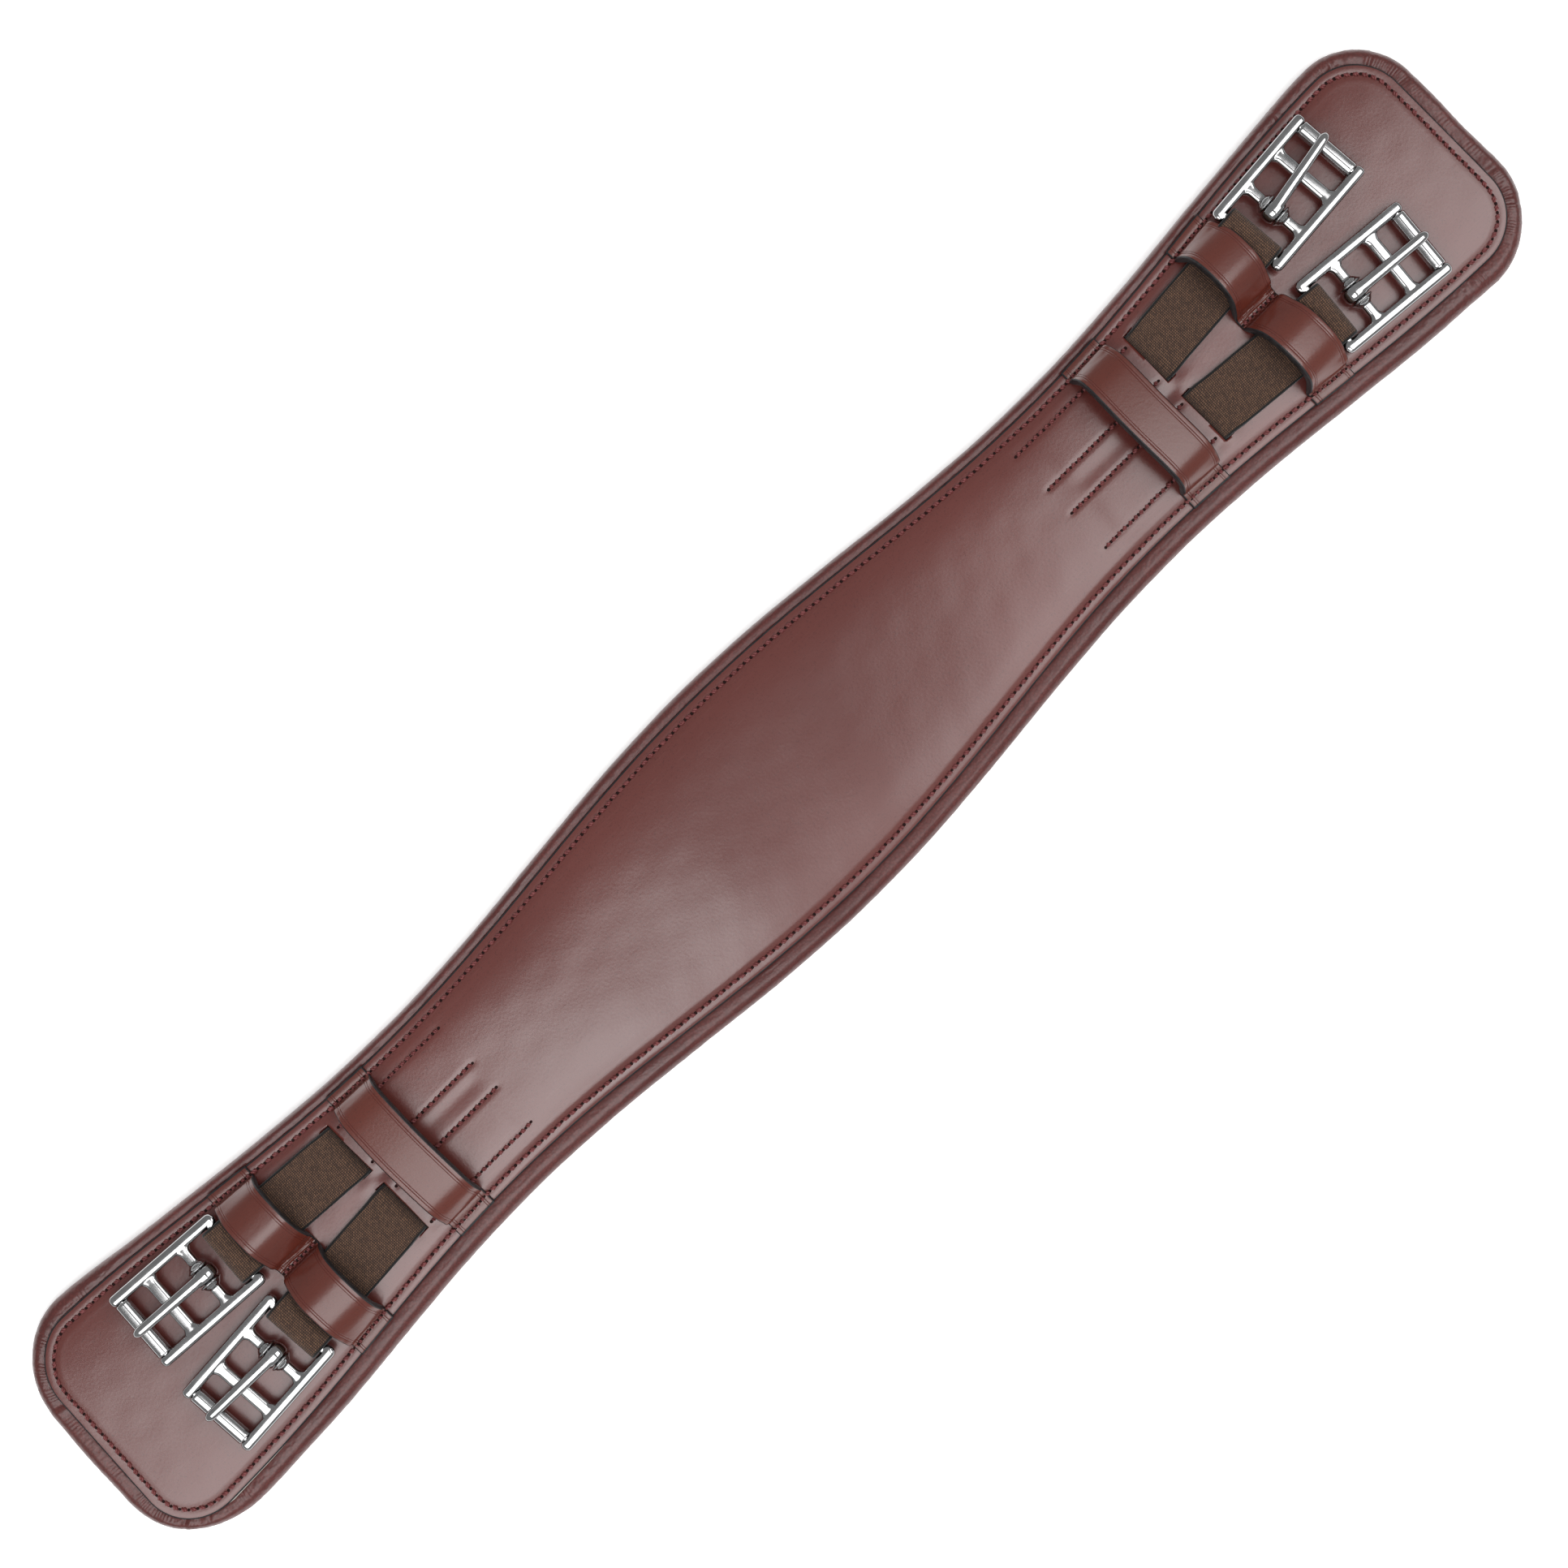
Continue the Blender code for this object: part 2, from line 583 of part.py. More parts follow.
def build():
    add_girth_body()
    for end_name, place in ENDS.items():
        add_keepers(end_name, place)
    meshes = {
        "loop": elastic_loop_mesh(),
        "frame": buckle_frame_mesh(),
        "roller": roller_mesh(),
        "pin": cylinder_mesh("roller_pin", PIN_RADIUS, -PIN_LENGTH / 2, PIN_LENGTH / 2, 16),
    }
    for strap_name, strap in STRAPS.items():
        add_buckle(strap_name, strap, meshes)


clear_scene()
PARTS = new_collection("saddle_girth")
CUTTERS = new_collection("cutters")
build()
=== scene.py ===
"""Looks of the saddle girth: leather, padding, stitching, elastic and polished buckles.

Everything is in metres in the frame's own coordinates: +X along the girth to its near-side
end, +Y to its front edge, +Z up out of the leather panel.
"""
import json
import math

import bmesh
import bpy
import numpy as np
from mathutils import Matrix, Vector


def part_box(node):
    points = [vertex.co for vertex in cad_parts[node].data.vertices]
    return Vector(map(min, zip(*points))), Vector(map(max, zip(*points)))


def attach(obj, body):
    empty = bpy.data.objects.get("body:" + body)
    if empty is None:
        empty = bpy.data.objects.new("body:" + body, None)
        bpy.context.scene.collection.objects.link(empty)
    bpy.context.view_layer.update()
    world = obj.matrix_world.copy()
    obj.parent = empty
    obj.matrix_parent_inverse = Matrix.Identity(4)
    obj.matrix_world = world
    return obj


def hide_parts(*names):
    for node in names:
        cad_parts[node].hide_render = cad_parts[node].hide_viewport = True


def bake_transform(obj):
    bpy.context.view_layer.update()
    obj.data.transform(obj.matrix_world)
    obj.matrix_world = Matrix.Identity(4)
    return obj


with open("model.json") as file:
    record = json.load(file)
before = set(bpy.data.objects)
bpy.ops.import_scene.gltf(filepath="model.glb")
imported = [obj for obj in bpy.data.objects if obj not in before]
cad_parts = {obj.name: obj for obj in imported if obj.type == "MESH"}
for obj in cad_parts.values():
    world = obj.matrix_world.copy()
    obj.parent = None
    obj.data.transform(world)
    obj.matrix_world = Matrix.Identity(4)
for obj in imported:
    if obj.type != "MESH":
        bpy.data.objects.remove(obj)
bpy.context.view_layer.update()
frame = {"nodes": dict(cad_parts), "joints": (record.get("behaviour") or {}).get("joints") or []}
MM = 0.001
JOINTS = {joint["name"]: joint for joint in frame["joints"]}
STRAPS = ("near_front", "near_rear", "off_front", "off_rear")

# Camera: straight down, with the girth lying across the picture's diagonal.
GIRTH_ANGLE = math.radians(44.69)
VIEW_WIDTH = 0.6907
VIEW_CENTRE = (0.0050, 0.0005)
CAMERA_HEIGHT = 1.206
SENSOR = 36.0

# Studio: each softbox's two corners in plan, its height, how bright it is and whether the
# leather mirrors it. The gap in the middle leaves the panel's crown its deeper red.
LIGHTS = (
    ("softbox_off", (-1.60, -0.72), (-0.12, 0.04), 1.32, 3.1, True),
    ("softbox_near", (0.25, -0.72), (1.60, 0.04), 1.32, 3.1, True),
    ("softbox_off_inner", (-0.50, -0.72), (-0.12, 0.02), 1.31, 0.9, True),
    ("softbox_near_inner", (0.12, -0.72), (0.25, -0.28), 1.31, 3.1, True),
    ("fill_front", (-1.60, 0.95), (1.60, 1.70), 1.30, 1.3, False),
    ("fill_rear", (-1.60, -1.90), (1.60, -1.20), 1.30, 1.3, False),
)
WORLD_BRIGHTNESS = 0.28
FLOOR_GLOW = 0.42

# Plan of the girth, as in the frame.
LINING_LOW, LINING_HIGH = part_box("padded_lining")
PANEL_LOW, PANEL_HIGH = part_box("outer_panel")
HALF_LENGTH = LINING_HIGH[0]
PANEL_HALF_LENGTH = PANEL_HIGH[0]
PANEL_INSET = 0.0075
PANEL_CORNER = 0.0255
PANEL_TOP = PANEL_HIGH[2]
PANEL_BOTTOM = PANEL_LOW[2]
WAIST_HALF_WIDTH = 0.049
SWELL = 0.0138
WAIST_X = 0.200
MEDIAL_HALF_LENGTH = 0.360

# The padded rim's corners are each pulled round a little differently, front then rear.
RIM_CORNERS = {(1, 1): 0.0315, (1, -1): 0.0375, (-1, 1): 0.0370, (-1, -1): 0.0425}
OFF_END_SLANT = -0.055
RIM_SHIFT = -0.0008

# The rim's section: where the lining is sewn and where its mouth is, inside the panel's
# edge, the rows over the roll, where its crest stands between edge and mouth, how deep it
# dips to the mouth, and the height of its roundest place.
SEAM_INSET = 0.0021
MOUTH_INSET = 0.0008
TRAY_FLOOR = 0.0016
ROLL_ROWS = 32
ROLL_CREST = 0.56
ROLL_DIP = 0.0011
ROLL_CENTRE = 0.0062
FOLD_COUNT = 22

# The cloth pass that puckers the rim. A negative shrink lets the leather grow.
CLOTH_SETTINGS = {"vertex_group_mass": "hold", "vertex_group_shrink": "loose", "shrink_min": 0.0,
                  "shrink_max": -0.40, "use_pressure": True, "uniform_pressure_force": 3.0,
                  "mass": 0.15, "tension_stiffness": 25.0, "compression_stiffness": 25.0,
                  "shear_stiffness": 6.0, "bending_stiffness": 0.08, "air_damping": 2.0,
                  "quality": 5}
CLOTH_FRAMES = 18
LARGEST_PUCKER = 0.0022

# Stitching. The pitch is closer over the keepers' feet, and each stitch starts and ends a
# little short of the middles of its holes.
STITCH_PITCH = 0.0040
FOOT_STITCH_PITCH = 0.0027
TAIL_STITCH_PITCH = 0.0034
STITCH_INSET = 0.0044
THREAD_RADIUS = 0.00092
THREAD_SHORT_START = 0.00048
THREAD_SHORT_END = 0.00038
THREAD_STEPS = 10
THREAD_SIDES = 6
HOLE_RADIUS = 0.00082
HOLE_SIDES = 12

# Elastic, with where each strap comes out of the panel and where its tail is sewn down.
ELASTIC_WIDTH = 0.0272
ELASTIC_PLY = 0.0017
TAIL_LENGTH = 0.066
TAIL_STITCHES_START = 0.179
SLIT_START = -0.0006
SLIT_END = 0.0044
RIB_PITCH = 0.00092
SLOT_X = {"near": 0.2503, "off": -0.2442}
SLOT_Y = {"near_front": 0.0214, "near_rear": -0.0150, "off_front": 0.0208, "off_rear": -0.0142}
TAIL_STITCH_Y = {"near_front": (0.0311, 0.0107), "near_rear": (-0.0039, -0.0250),
                 "off_front": (0.0311, 0.0097), "off_rear": (-0.0054, -0.0272)}

# Keepers: each one's place along the girth, its width, where its middle is sewn down, how
# far its top leans along the girth, how far the band tips, in degrees, and its front foot.
KEEPER_THICKNESS = 0.0037
FOOT_THICKNESS = 0.0019
KEEPER_FOOT = {"twin": 0.0070, "wide": 0.0092}
KEEPER_VALLEY = 0.0040
KEEPER_SPREAD = 0.09
KEEPER_PLACES = {
    ("twin", "near"): {"x": 0.3002, "width": 0.0217, "valley": 0.0006, "lean": 0.0020,
                       "tip": 16.0, "front_foot": 0.0062},
    ("twin", "off"): {"x": -0.2932, "width": 0.0217, "valley": 0.0008, "lean": -0.0002,
                      "tip": -9.0, "front_foot": 0.0070},
    ("wide", "near"): {"x": 0.2296, "width": 0.0214, "valley": None, "lean": 0.0007,
                       "tip": 15.0, "front_foot": 0.0064},
    ("wide", "off"): {"x": -0.2256, "width": 0.0214, "valley": None, "lean": 0.0,
                      "tip": -9.0, "front_foot": 0.0074},
}

# Material numbers on the panel and the keepers. The crease number is painted shade in the keepers' crease
# grooves.
FACE, EDGE, CREASE_SHADE = 0, 1, 2

# Buckle, in its own frame: X runs out from the base bar to the roller.
RAIL_Y = 0.0172
TONGUE_BAR_X = 0.0163
MIDDLE_BAR_X = 0.0360
ROLLER_X = 0.0517
ROLLER_RADIUS = 0.0036
ROLLER_BORE = 0.0027
ROLLER_HALF_LENGTH = 0.0145
PRONG_LENGTH = 0.0397
TONGUE_LEANS = {"near_front": 6.0, "near_rear": 0.0, "off_front": 0.0, "off_rear": -5.0}
CASTING_VOXEL = 0.00030

RNG_SEED = 11


# ---------------------------------------------------------------- mesh helpers
def new_mesh(name, points, faces):
    """A smooth mesh object from numpy points and a list of faces."""
    mesh = bpy.data.meshes.new(name)
    mesh.from_pydata([tuple(point) for point in np.asarray(points, float)], [], faces)
    mesh.validate()
    mesh.shade_smooth()
    piece = bpy.data.objects.new(name, mesh)
    bpy.context.scene.collection.objects.link(piece)
    return piece


def grid_faces(rows, columns, close_rows=False, close_columns=False):
    """Quads of a grid of points stored row by row."""
    row_count = rows if close_rows else rows - 1
    column_count = columns if close_columns else columns - 1
    row = np.arange(row_count)[:, None]
    column = np.arange(column_count)[None, :]
    a = row * columns + column
    b = row * columns + (column + 1) % columns
    c = (row + 1) % rows * columns + (column + 1) % columns
    d = (row + 1) % rows * columns + column
    return np.stack([a, b, c, d], axis=-1).reshape(-1, 4).tolist()


def band_faces(around, count):
    """Faces of a closed band: rows round its section, points along it, and both its ends."""
    faces = grid_faces(around, count, close_rows=True)
    faces.append([row * count for row in range(around)])
    faces.append([row * count + count - 1 for row in reversed(range(around))])
    return faces


def tube_faces(rings, sides):
    """Faces of a closed tube, stored ring by ring, with both its ends."""
    faces = grid_faces(rings, sides, close_columns=True)
    faces.append(list(range(sides - 1, -1, -1)))
    faces.append([(rings - 1) * sides + step for step in range(sides)])
    return faces


def repeated(faces, count, stride):
    """The same faces for a number of like parts whose points follow each other."""
    return [[corner + index * stride for corner in face] for index in range(count) for face in faces]


def set_uv(piece, points_uv):
    """Stores one (u, v) pair a point on the mesh's UV map."""
    mesh = piece.data
    layer = mesh.uv_layers.new(name="Measure")
    index = np.zeros(len(mesh.loops), np.int32)
    mesh.loops.foreach_get("vertex_index", index)
    layer.data.foreach_set("uv", np.asarray(points_uv, np.float32)[index].ravel())


def weld(piece, distance):
    """Joins points that meet and turns every face outwards."""
    shape = bmesh.new()
    shape.from_mesh(piece.data)
    bmesh.ops.remove_doubles(shape, verts=shape.verts, dist=distance)
    bmesh.ops.recalc_face_normals(shape, faces=shape.faces)
    shape.to_mesh(piece.data)
    shape.free()


def apply_modifiers(piece):
    """Bakes a piece's modifiers into its mesh."""
    depsgraph = bpy.context.evaluated_depsgraph_get()
    mesh = bpy.data.meshes.new_from_object(piece.evaluated_get(depsgraph))
    piece.modifiers.clear()
    piece.data = mesh


def smooth_step(value, low, high):
    """0 below low, 1 above high and an S between them."""
    share = np.clip((value - low) / (high - low), 0.0, 1.0)
    return share * share * (3 - 2 * share)


def ripples(x, y, wavelength, seed):
    """Soft irregular waves between about -1 and 1, the same on every run."""
    waves = 7
    chance = np.random.default_rng(seed)
    total = np.zeros_like(x)
    for _ in range(waves):
        angle = chance.uniform(0, math.tau)
        stretch = chance.uniform(0.7, 1.5)
        phase = chance.uniform(0, math.tau)
        turn = math.tau / (wavelength * stretch)
        total = total + np.sin((x * math.cos(angle) + y * math.sin(angle)) * turn + phase)
    return total / math.sqrt(waves * 1.4)


# ---------------------------------------------------------------- plan of the girth
def half_width(x):
    """Half the girth's width: widest in the middle and at the ends, waisted between."""
    return WAIST_HALF_WIDTH + SWELL * (0.5 + 0.5 * np.cos(math.pi * x / WAIST_X))


def panel_shift(x):
    """How far the panel lies towards the front edge: more beyond the waist, and most at
    the off-side end."""
    swing = 0.0009 * smooth_step(-x, 0.300, 0.390)
    return 0.0004 + 0.0009 * smooth_step(np.abs(x), 0.0, WAIST_X) + swing


def rim_shift(x):
    """How far the padded rim lies towards the front edge."""
    return RIM_SHIFT + 0.0015 * smooth_step(-x, 0.300, 0.390)


def corner_bulge(x, y):
    """How much further the rim stands out where it turns the two front corners."""
    near = 0.0013 * np.exp(-((x - 0.384) / 0.020) ** 2)
    off = 0.0022 * np.exp(-((x + 0.388) / 0.028) ** 2)
    return (near + off) * smooth_step(y, 0.020, 0.050)


def end_slant(x, y):
    """How far the off-side end leans, so that its rear corner reaches out furthest."""
    return OFF_END_SLANT * y * smooth_step(-x, 0.36, 0.42)


def panel_distance(x, y):
    """Distance in from the panel's edge, in plan."""
    x = x + end_slant(x, y)
    y = np.abs(y - panel_shift(x))
    x = np.abs(x)
    corner_x = PANEL_HALF_LENGTH - PANEL_CORNER
    corner_y = half_width(corner_x) - PANEL_INSET - PANEL_CORNER
    plain = np.minimum(half_width(x) - PANEL_INSET - y, PANEL_HALF_LENGTH - x)
    round_corner = PANEL_CORNER - np.hypot(x - corner_x, y - corner_y)
    return np.where((x > corner_x) & (y > corner_y), round_corner, plain)


def quarter_plan(half_length, side_inset, radius):
    """A quarter of an outline, from the middle of its end to the middle of its side."""
    corner_x = half_length - radius
    corner_y = float(half_width(corner_x)) - side_inset - radius
    end_y = np.linspace(0.0, corner_y, 60, endpoint=False)
    end = np.stack([np.full_like(end_y, half_length), end_y], axis=1)
    turn = np.linspace(0.0, math.pi / 2, 120, endpoint=False)
    corner = np.stack([corner_x + radius * np.cos(turn), corner_y + radius * np.sin(turn)], axis=1)
    side_x = np.linspace(corner_x, 0.0, 500)
    side = np.stack([side_x, half_width(side_x) - side_inset], axis=1)
    return np.concatenate([end, corner, side])


class Outline:
    """A closed outline, anticlockwise from the middle of the near-side end, with points
    close together round the ends and further apart along the sides."""

    def __init__(self, quarters, shift, end_spacing, side_spacing):
        near_front, off_front, off_rear, near_rear = quarters
        loop = np.concatenate([near_front, off_front[-2::-1] * (-1, 1),
                               off_rear[1:] * (-1, -1), near_rear[-2:0:-1] * (1, -1)])
        loop[:, 0] -= end_slant(loop[:, 0], loop[:, 1])
        loop[:, 1] += shift(loop[:, 0])
        closed = np.concatenate([loop, loop[:1]])
        step = np.hypot(*np.diff(closed, axis=0).T)
        run = np.concatenate([[0.0], np.cumsum(step)])
        middle = (closed[1:] + closed[:-1]) / 2
        at_end = smooth_step(np.abs(middle[:, 0]), 0.335, 0.360)
        spacing = side_spacing + (end_spacing - side_spacing) * at_end
        place = np.concatenate([[0.0], np.cumsum(step / spacing)])
        count = int(place[-1])
        self.run = np.interp(np.arange(count) * place[-1] / count, place, run)
        self.length = run[-1]
        self.points = self.place_at(self.run, run, closed)
        reach = 0.0012
        ahead, behind = (self.place_at(self.run + step_on, run, closed) for step_on in (reach, -reach))
        along = ahead - behind
        along /= np.linalg.norm(along, axis=1)[:, None]
        self.normals = np.stack([along[:, 1], -along[:, 0]], axis=1)
        self.count = count
        medial_x = np.clip(self.points[:, 0], -MEDIAL_HALF_LENGTH, MEDIAL_HALF_LENGTH)
        self.medial = np.stack([medial_x, shift(medial_x)], axis=1)

    @staticmethod
    def place_at(wanted, run, closed):
        """Points of a closed line at some distances round it."""
        wanted = wanted % run[-1]
        return np.stack([np.interp(wanted, run, closed[:, i]) for i in (0, 1)], axis=1)

    def ring(self, inset):
        """The outline moved in, by one inset or by one for each point."""
        return self.points - self.normals * np.reshape(inset, (-1, 1))

    def inner_ring(self, inset, share):
        """A ring between the outline moved in and the girth's middle line."""
        return self.ring(inset) * (1 - share) + self.medial * share


def panel_outline(end_spacing, side_spacing):
    """The panel's cut edge."""
    quarter = quarter_plan(PANEL_HALF_LENGTH, PANEL_INSET, PANEL_CORNER)
    return Outline([quarter] * 4, panel_shift, end_spacing, side_spacing)


def rim_outline(end_spacing, side_spacing):
    """The outermost line of the padded rim."""
    quarters = []
    for corner in ((1, 1), (-1, 1), (-1, -1), (1, -1)):
        quarters.append(quarter_plan(HALF_LENGTH, 0.0, RIM_CORNERS[corner]))
    return Outline(quarters, rim_shift, end_spacing, side_spacing)


# ---------------------------------------------------------------- straps and places
def strap_base(name):
    """The base bar's middle, where the buckle hangs on the elastic."""
    return Vector(JOINTS["buckle_swing_" + name]["pos_m"])


def strap_heading(name):
    """The way a strap runs, out from its slot."""
    return Vector(JOINTS["elastic_stretch_" + name]["axis"]).normalized()


def buckle_matrix(name):
    """From the buckle's own frame, X out along the strap and Z up, to the girth's."""
    heading = strap_heading(name)
    across = Vector((-heading.y, heading.x, 0.0))
    base = strap_base(name)
    return Matrix(((heading.x, across.x, 0, base.x), (heading.y, across.y, 0, base.y),
                   (0, 0, 1, base.z), (0, 0, 0, 1)))


def end_of(name):
    """The end of the girth a strap is on: near or off."""
    return name.split("_")[0]


def end_sign(name):
    """1 for a strap on +X, -1 for one on -X."""
    return 1 if end_of(name) == "near" else -1


# ---------------------------------------------------------------- heights
def tail_stitch_lines():
    """The lines that sew the elastic tails to the panel: end, y, and where on x they run."""
    return [(end_sign(name), y, TAIL_STITCHES_START, abs(SLOT_X[end_of(name)]) - 0.0034)
            for name in STRAPS for y in TAIL_STITCH_Y[name]]


def panel_height(x, y):
    """Height of the panel's upper face at places in plan."""
    inset = panel_distance(x, y)
    from_seam = inset - STITCH_INSET
    swell = smooth_step(-np.abs(x), -0.225, -0.150)
    half = half_width(x) - PANEL_INSET
    across = np.clip(np.abs(y - panel_shift(x)) / half, 0, 1.05)
    # The crown, lower at the ends, falls away to the border.
    z = PANEL_TOP + 0.0014 * swell - (0.0012 + 0.0022 * swell) * across ** 3.6
    z = z - 0.0006 * np.exp(-(np.maximum(from_seam, 0) / 0.0042))
    # The seam's groove, the border turned up outside it, the rounded edge and a fine ridge.
    z = z - 0.00016 * np.exp(-(from_seam / 0.0011) ** 2)
    z = z + 0.00022 * smooth_step(-from_seam, 0.0006, 0.0038)
    z = z - 0.0005 * np.exp(-np.maximum(inset, 0) / 0.0011)
    z = z + 0.00010 * np.exp(-((from_seam - 0.0032) / 0.0009) ** 2)
    # The padding's unevenness.
    z = z + 0.00018 * ripples(x, y, 0.085, 3) + 0.00003 * ripples(x, y, 0.018, 5)
    for sign, line_y, start, stop in tail_stitch_lines():
        run = x * sign
        along = smooth_step(run, start - 0.002, start) * smooth_step(-run, -stop - 0.002, -stop)
        z = z - 0.00026 * along * np.exp(-((y - line_y) / 0.0012) ** 2)
    for name in STRAPS:
        # The slit's lip and the dip beyond it, and the tail's bulge under the panel.
        in_strap = np.exp(-(np.abs(y - SLOT_Y[name]) / 0.0155) ** 8)
        run = (x - SLOT_X[end_of(name)]) * end_sign(name)
        lip = np.exp(-((run - SLIT_START) / 0.010) ** 2) * (run < SLIT_START + 0.001)
        dip = np.exp(-((run - SLIT_END) / 0.006) ** 2) * (run > SLIT_END - 0.001)
        bulge = smooth_step(run, -TAIL_LENGTH, -TAIL_LENGTH + 0.01) * smooth_step(-run, -0.001, 0.002)
        z = z + in_strap * (0.0005 * lip - 0.0004 * dip + 0.00035 * bulge)
    return z


def keeper_cover(x):
    """How far a place is under a keeper's foot, from 0 to 1."""
    cover = np.zeros_like(x)
    for place in KEEPER_PLACES.values():
        reach = place["width"] / 2
        inside = smooth_step(-np.abs(x - place["x"]), -reach - 0.0003, -reach + 0.0003)
        cover = np.maximum(cover, inside)
    return cover


def stitched_height(x, y):
    """Height of whatever the edge stitching lies on: the panel, or a keeper's foot."""
    cover = keeper_cover(x) * smooth_step(panel_distance(x, y), -0.001, 0.001)
    return panel_height(x, y) + cover * (FOOT_THICKNESS + 0.00010)


# ---------------------------------------------------------------- materials
class Look:
    """A Principled material and short ways to feed it."""

    def __init__(self, name, **constants):
        self.material = bpy.data.materials.new(name)
        self.material.use_nodes = True
        self.tree = self.material.node_tree
        self.shader = self.tree.nodes["Principled BSDF"]
        for socket, value in constants.items():
            self.shader.inputs[socket.replace("_", " ")].default_value = value
        self.place = self.tree.nodes.new("ShaderNodeTexCoord").outputs["Object"]

    def link(self, source, target):
        if hasattr(source, "is_output"):
            self.tree.links.new(source, target)
        else:
            target.default_value = source

    def feed(self, socket, source):
        self.link(source, self.shader.inputs[socket])

    def node(self, kind, *values, **inputs):
        """A new node, with its first inputs fed in order and the others by name."""
        node = self.tree.nodes.new("ShaderNode" + kind)
        for socket, value in zip(node.inputs, values):
            self.link(value, socket)
        for socket, value in inputs.items():
            self.link(value, node.inputs[socket.replace("_", " ")])
        return node

    def scaled(self, scale):
        return self.node("Mapping", self.place, Scale=scale).outputs["Vector"]

    def noise(self, scale, detail, source=None):
        return self.node("TexNoise", source or self.place, Scale=scale, Detail=detail).outputs["Fac"]

    def cells(self, scale):
        return self.node("TexVoronoi", self.place, Scale=scale).outputs["Distance"]

    def calc(self, operation, a, b=0.0):
        node = self.node("Math", a, b)
        node.operation = operation
        return node.outputs[0]

    def span(self, value, from_low, from_high, to_low=0.0, to_high=1.0):
        return self.node("MapRange", value, from_low, from_high, to_low, to_high).outputs[0]

    def mix(self, share, a, b):
        node = self.tree.nodes.new("ShaderNodeMix")
        node.data_type = "RGBA"
        self.link(share, node.inputs["Factor"])
        for socket, value in (("A", a), ("B", b)):
            target = [item for item in node.inputs if item.name == socket and item.type == "RGBA"][0]
            self.link(value if hasattr(value, "is_output") else (*value, 1.0), target)
        return [item for item in node.outputs if item.type == "RGBA"][0]

    def bump(self, height, distance, strength, under=None):
        node = self.node("Bump", Height=height, Distance=distance, Strength=strength)
        if under is not None:
            self.link(under, node.inputs["Normal"])
        return node.outputs["Normal"]

    def measure(self):
        """Along and across a band, in metres, from its measure map."""
        node = self.node("UVMap")
        node.uv_map = "Measure"
        split = self.node("SeparateXYZ", node.outputs["UV"])
        return split.outputs[0], split.outputs[1]


def plain_look(name, scale, detail, tones, tone_span, roughness, bump=None, **constants):
    """Tone and roughness that follow one noise, and a bump of (scale, distance, strength)."""
    look = Look(name, **constants)
    shade = look.noise(scale, detail)
    look.feed("Base Color", look.mix(look.span(shade, *tone_span), *tones))
    look.feed("Roughness", look.span(shade, 0.3, 0.7, *roughness))
    if bump:
        look.feed("Normal", look.bump(look.noise(bump[0], 2.0), *bump[1:]))
    return look.material


def leather(name, dark, light, stain, pore_size, gloss, haze, grain_and_sheen_streaks):
    """Dyed leather: soft clouding, pores, a fine grain, and pale streaks along the girth that are partly the
    grain and partly painted highlight, the leather's streaky sheen painted into its colour.
    """
    look = Look(name, Specular_IOR_Level=gloss, Coat_Weight=gloss / 2, Coat_Roughness=haze)
    cloud = look.noise(11.0, 0.6)
    tone = look.mix(look.span(cloud, 0.20, 0.80), dark, light)
    # Pale streaks along the girth: partly the leather's grain, partly painted highlight standing in for its
    # streaky sheen.
    grain_sheen_streak = look.noise(1.0, 3.0, look.scaled((70.0, 1300.0, 0.0)))
    tone = look.mix(look.span(grain_sheen_streak, 0.60, 0.80, 0.0, grain_and_sheen_streaks), tone, (0.26, 0.15, 0.14))
    pore = look.noise(pore_size, 2.0)
    tone = look.mix(look.span(pore, 0.30, 0.42, 0.5, 0.0), tone, stain)
    look.feed("Base Color", tone)
    look.feed("Roughness", look.span(cloud, 0.2, 0.8, 0.27, 0.31))
    grain = look.bump(look.noise(620.0, 3.0), 0.00007, 0.45)
    look.feed("Normal", look.bump(look.cells(760.0), 0.00005, 0.35, grain))
    return look.material


def lining_leather():
    """Soft upholstery leather with a fine pebble grain and shallow creases."""
    look = Look("lining_leather", Specular_IOR_Level=0.50, Coat_Weight=0.26, Coat_Roughness=0.22)
    cloud = look.noise(22.0, 3.0)
    tone = look.mix(look.span(cloud, 0.35, 0.68), (0.098, 0.0205, 0.0180), (0.130, 0.0310, 0.0270))
    grain = look.cells(820.0)
    tone = look.mix(look.span(grain, 0.30, 0.62, 0.0, 0.45), tone, (0.052, 0.012, 0.010))
    look.feed("Base Color", tone)
    look.feed("Roughness", look.span(cloud, 0.3, 0.7, 0.36, 0.46))
    pebble = look.bump(grain, 0.00012, 0.6)
    look.feed("Normal", look.bump(look.noise(300.0, 3.0), 0.00020, 0.45, pebble))
    return look.material


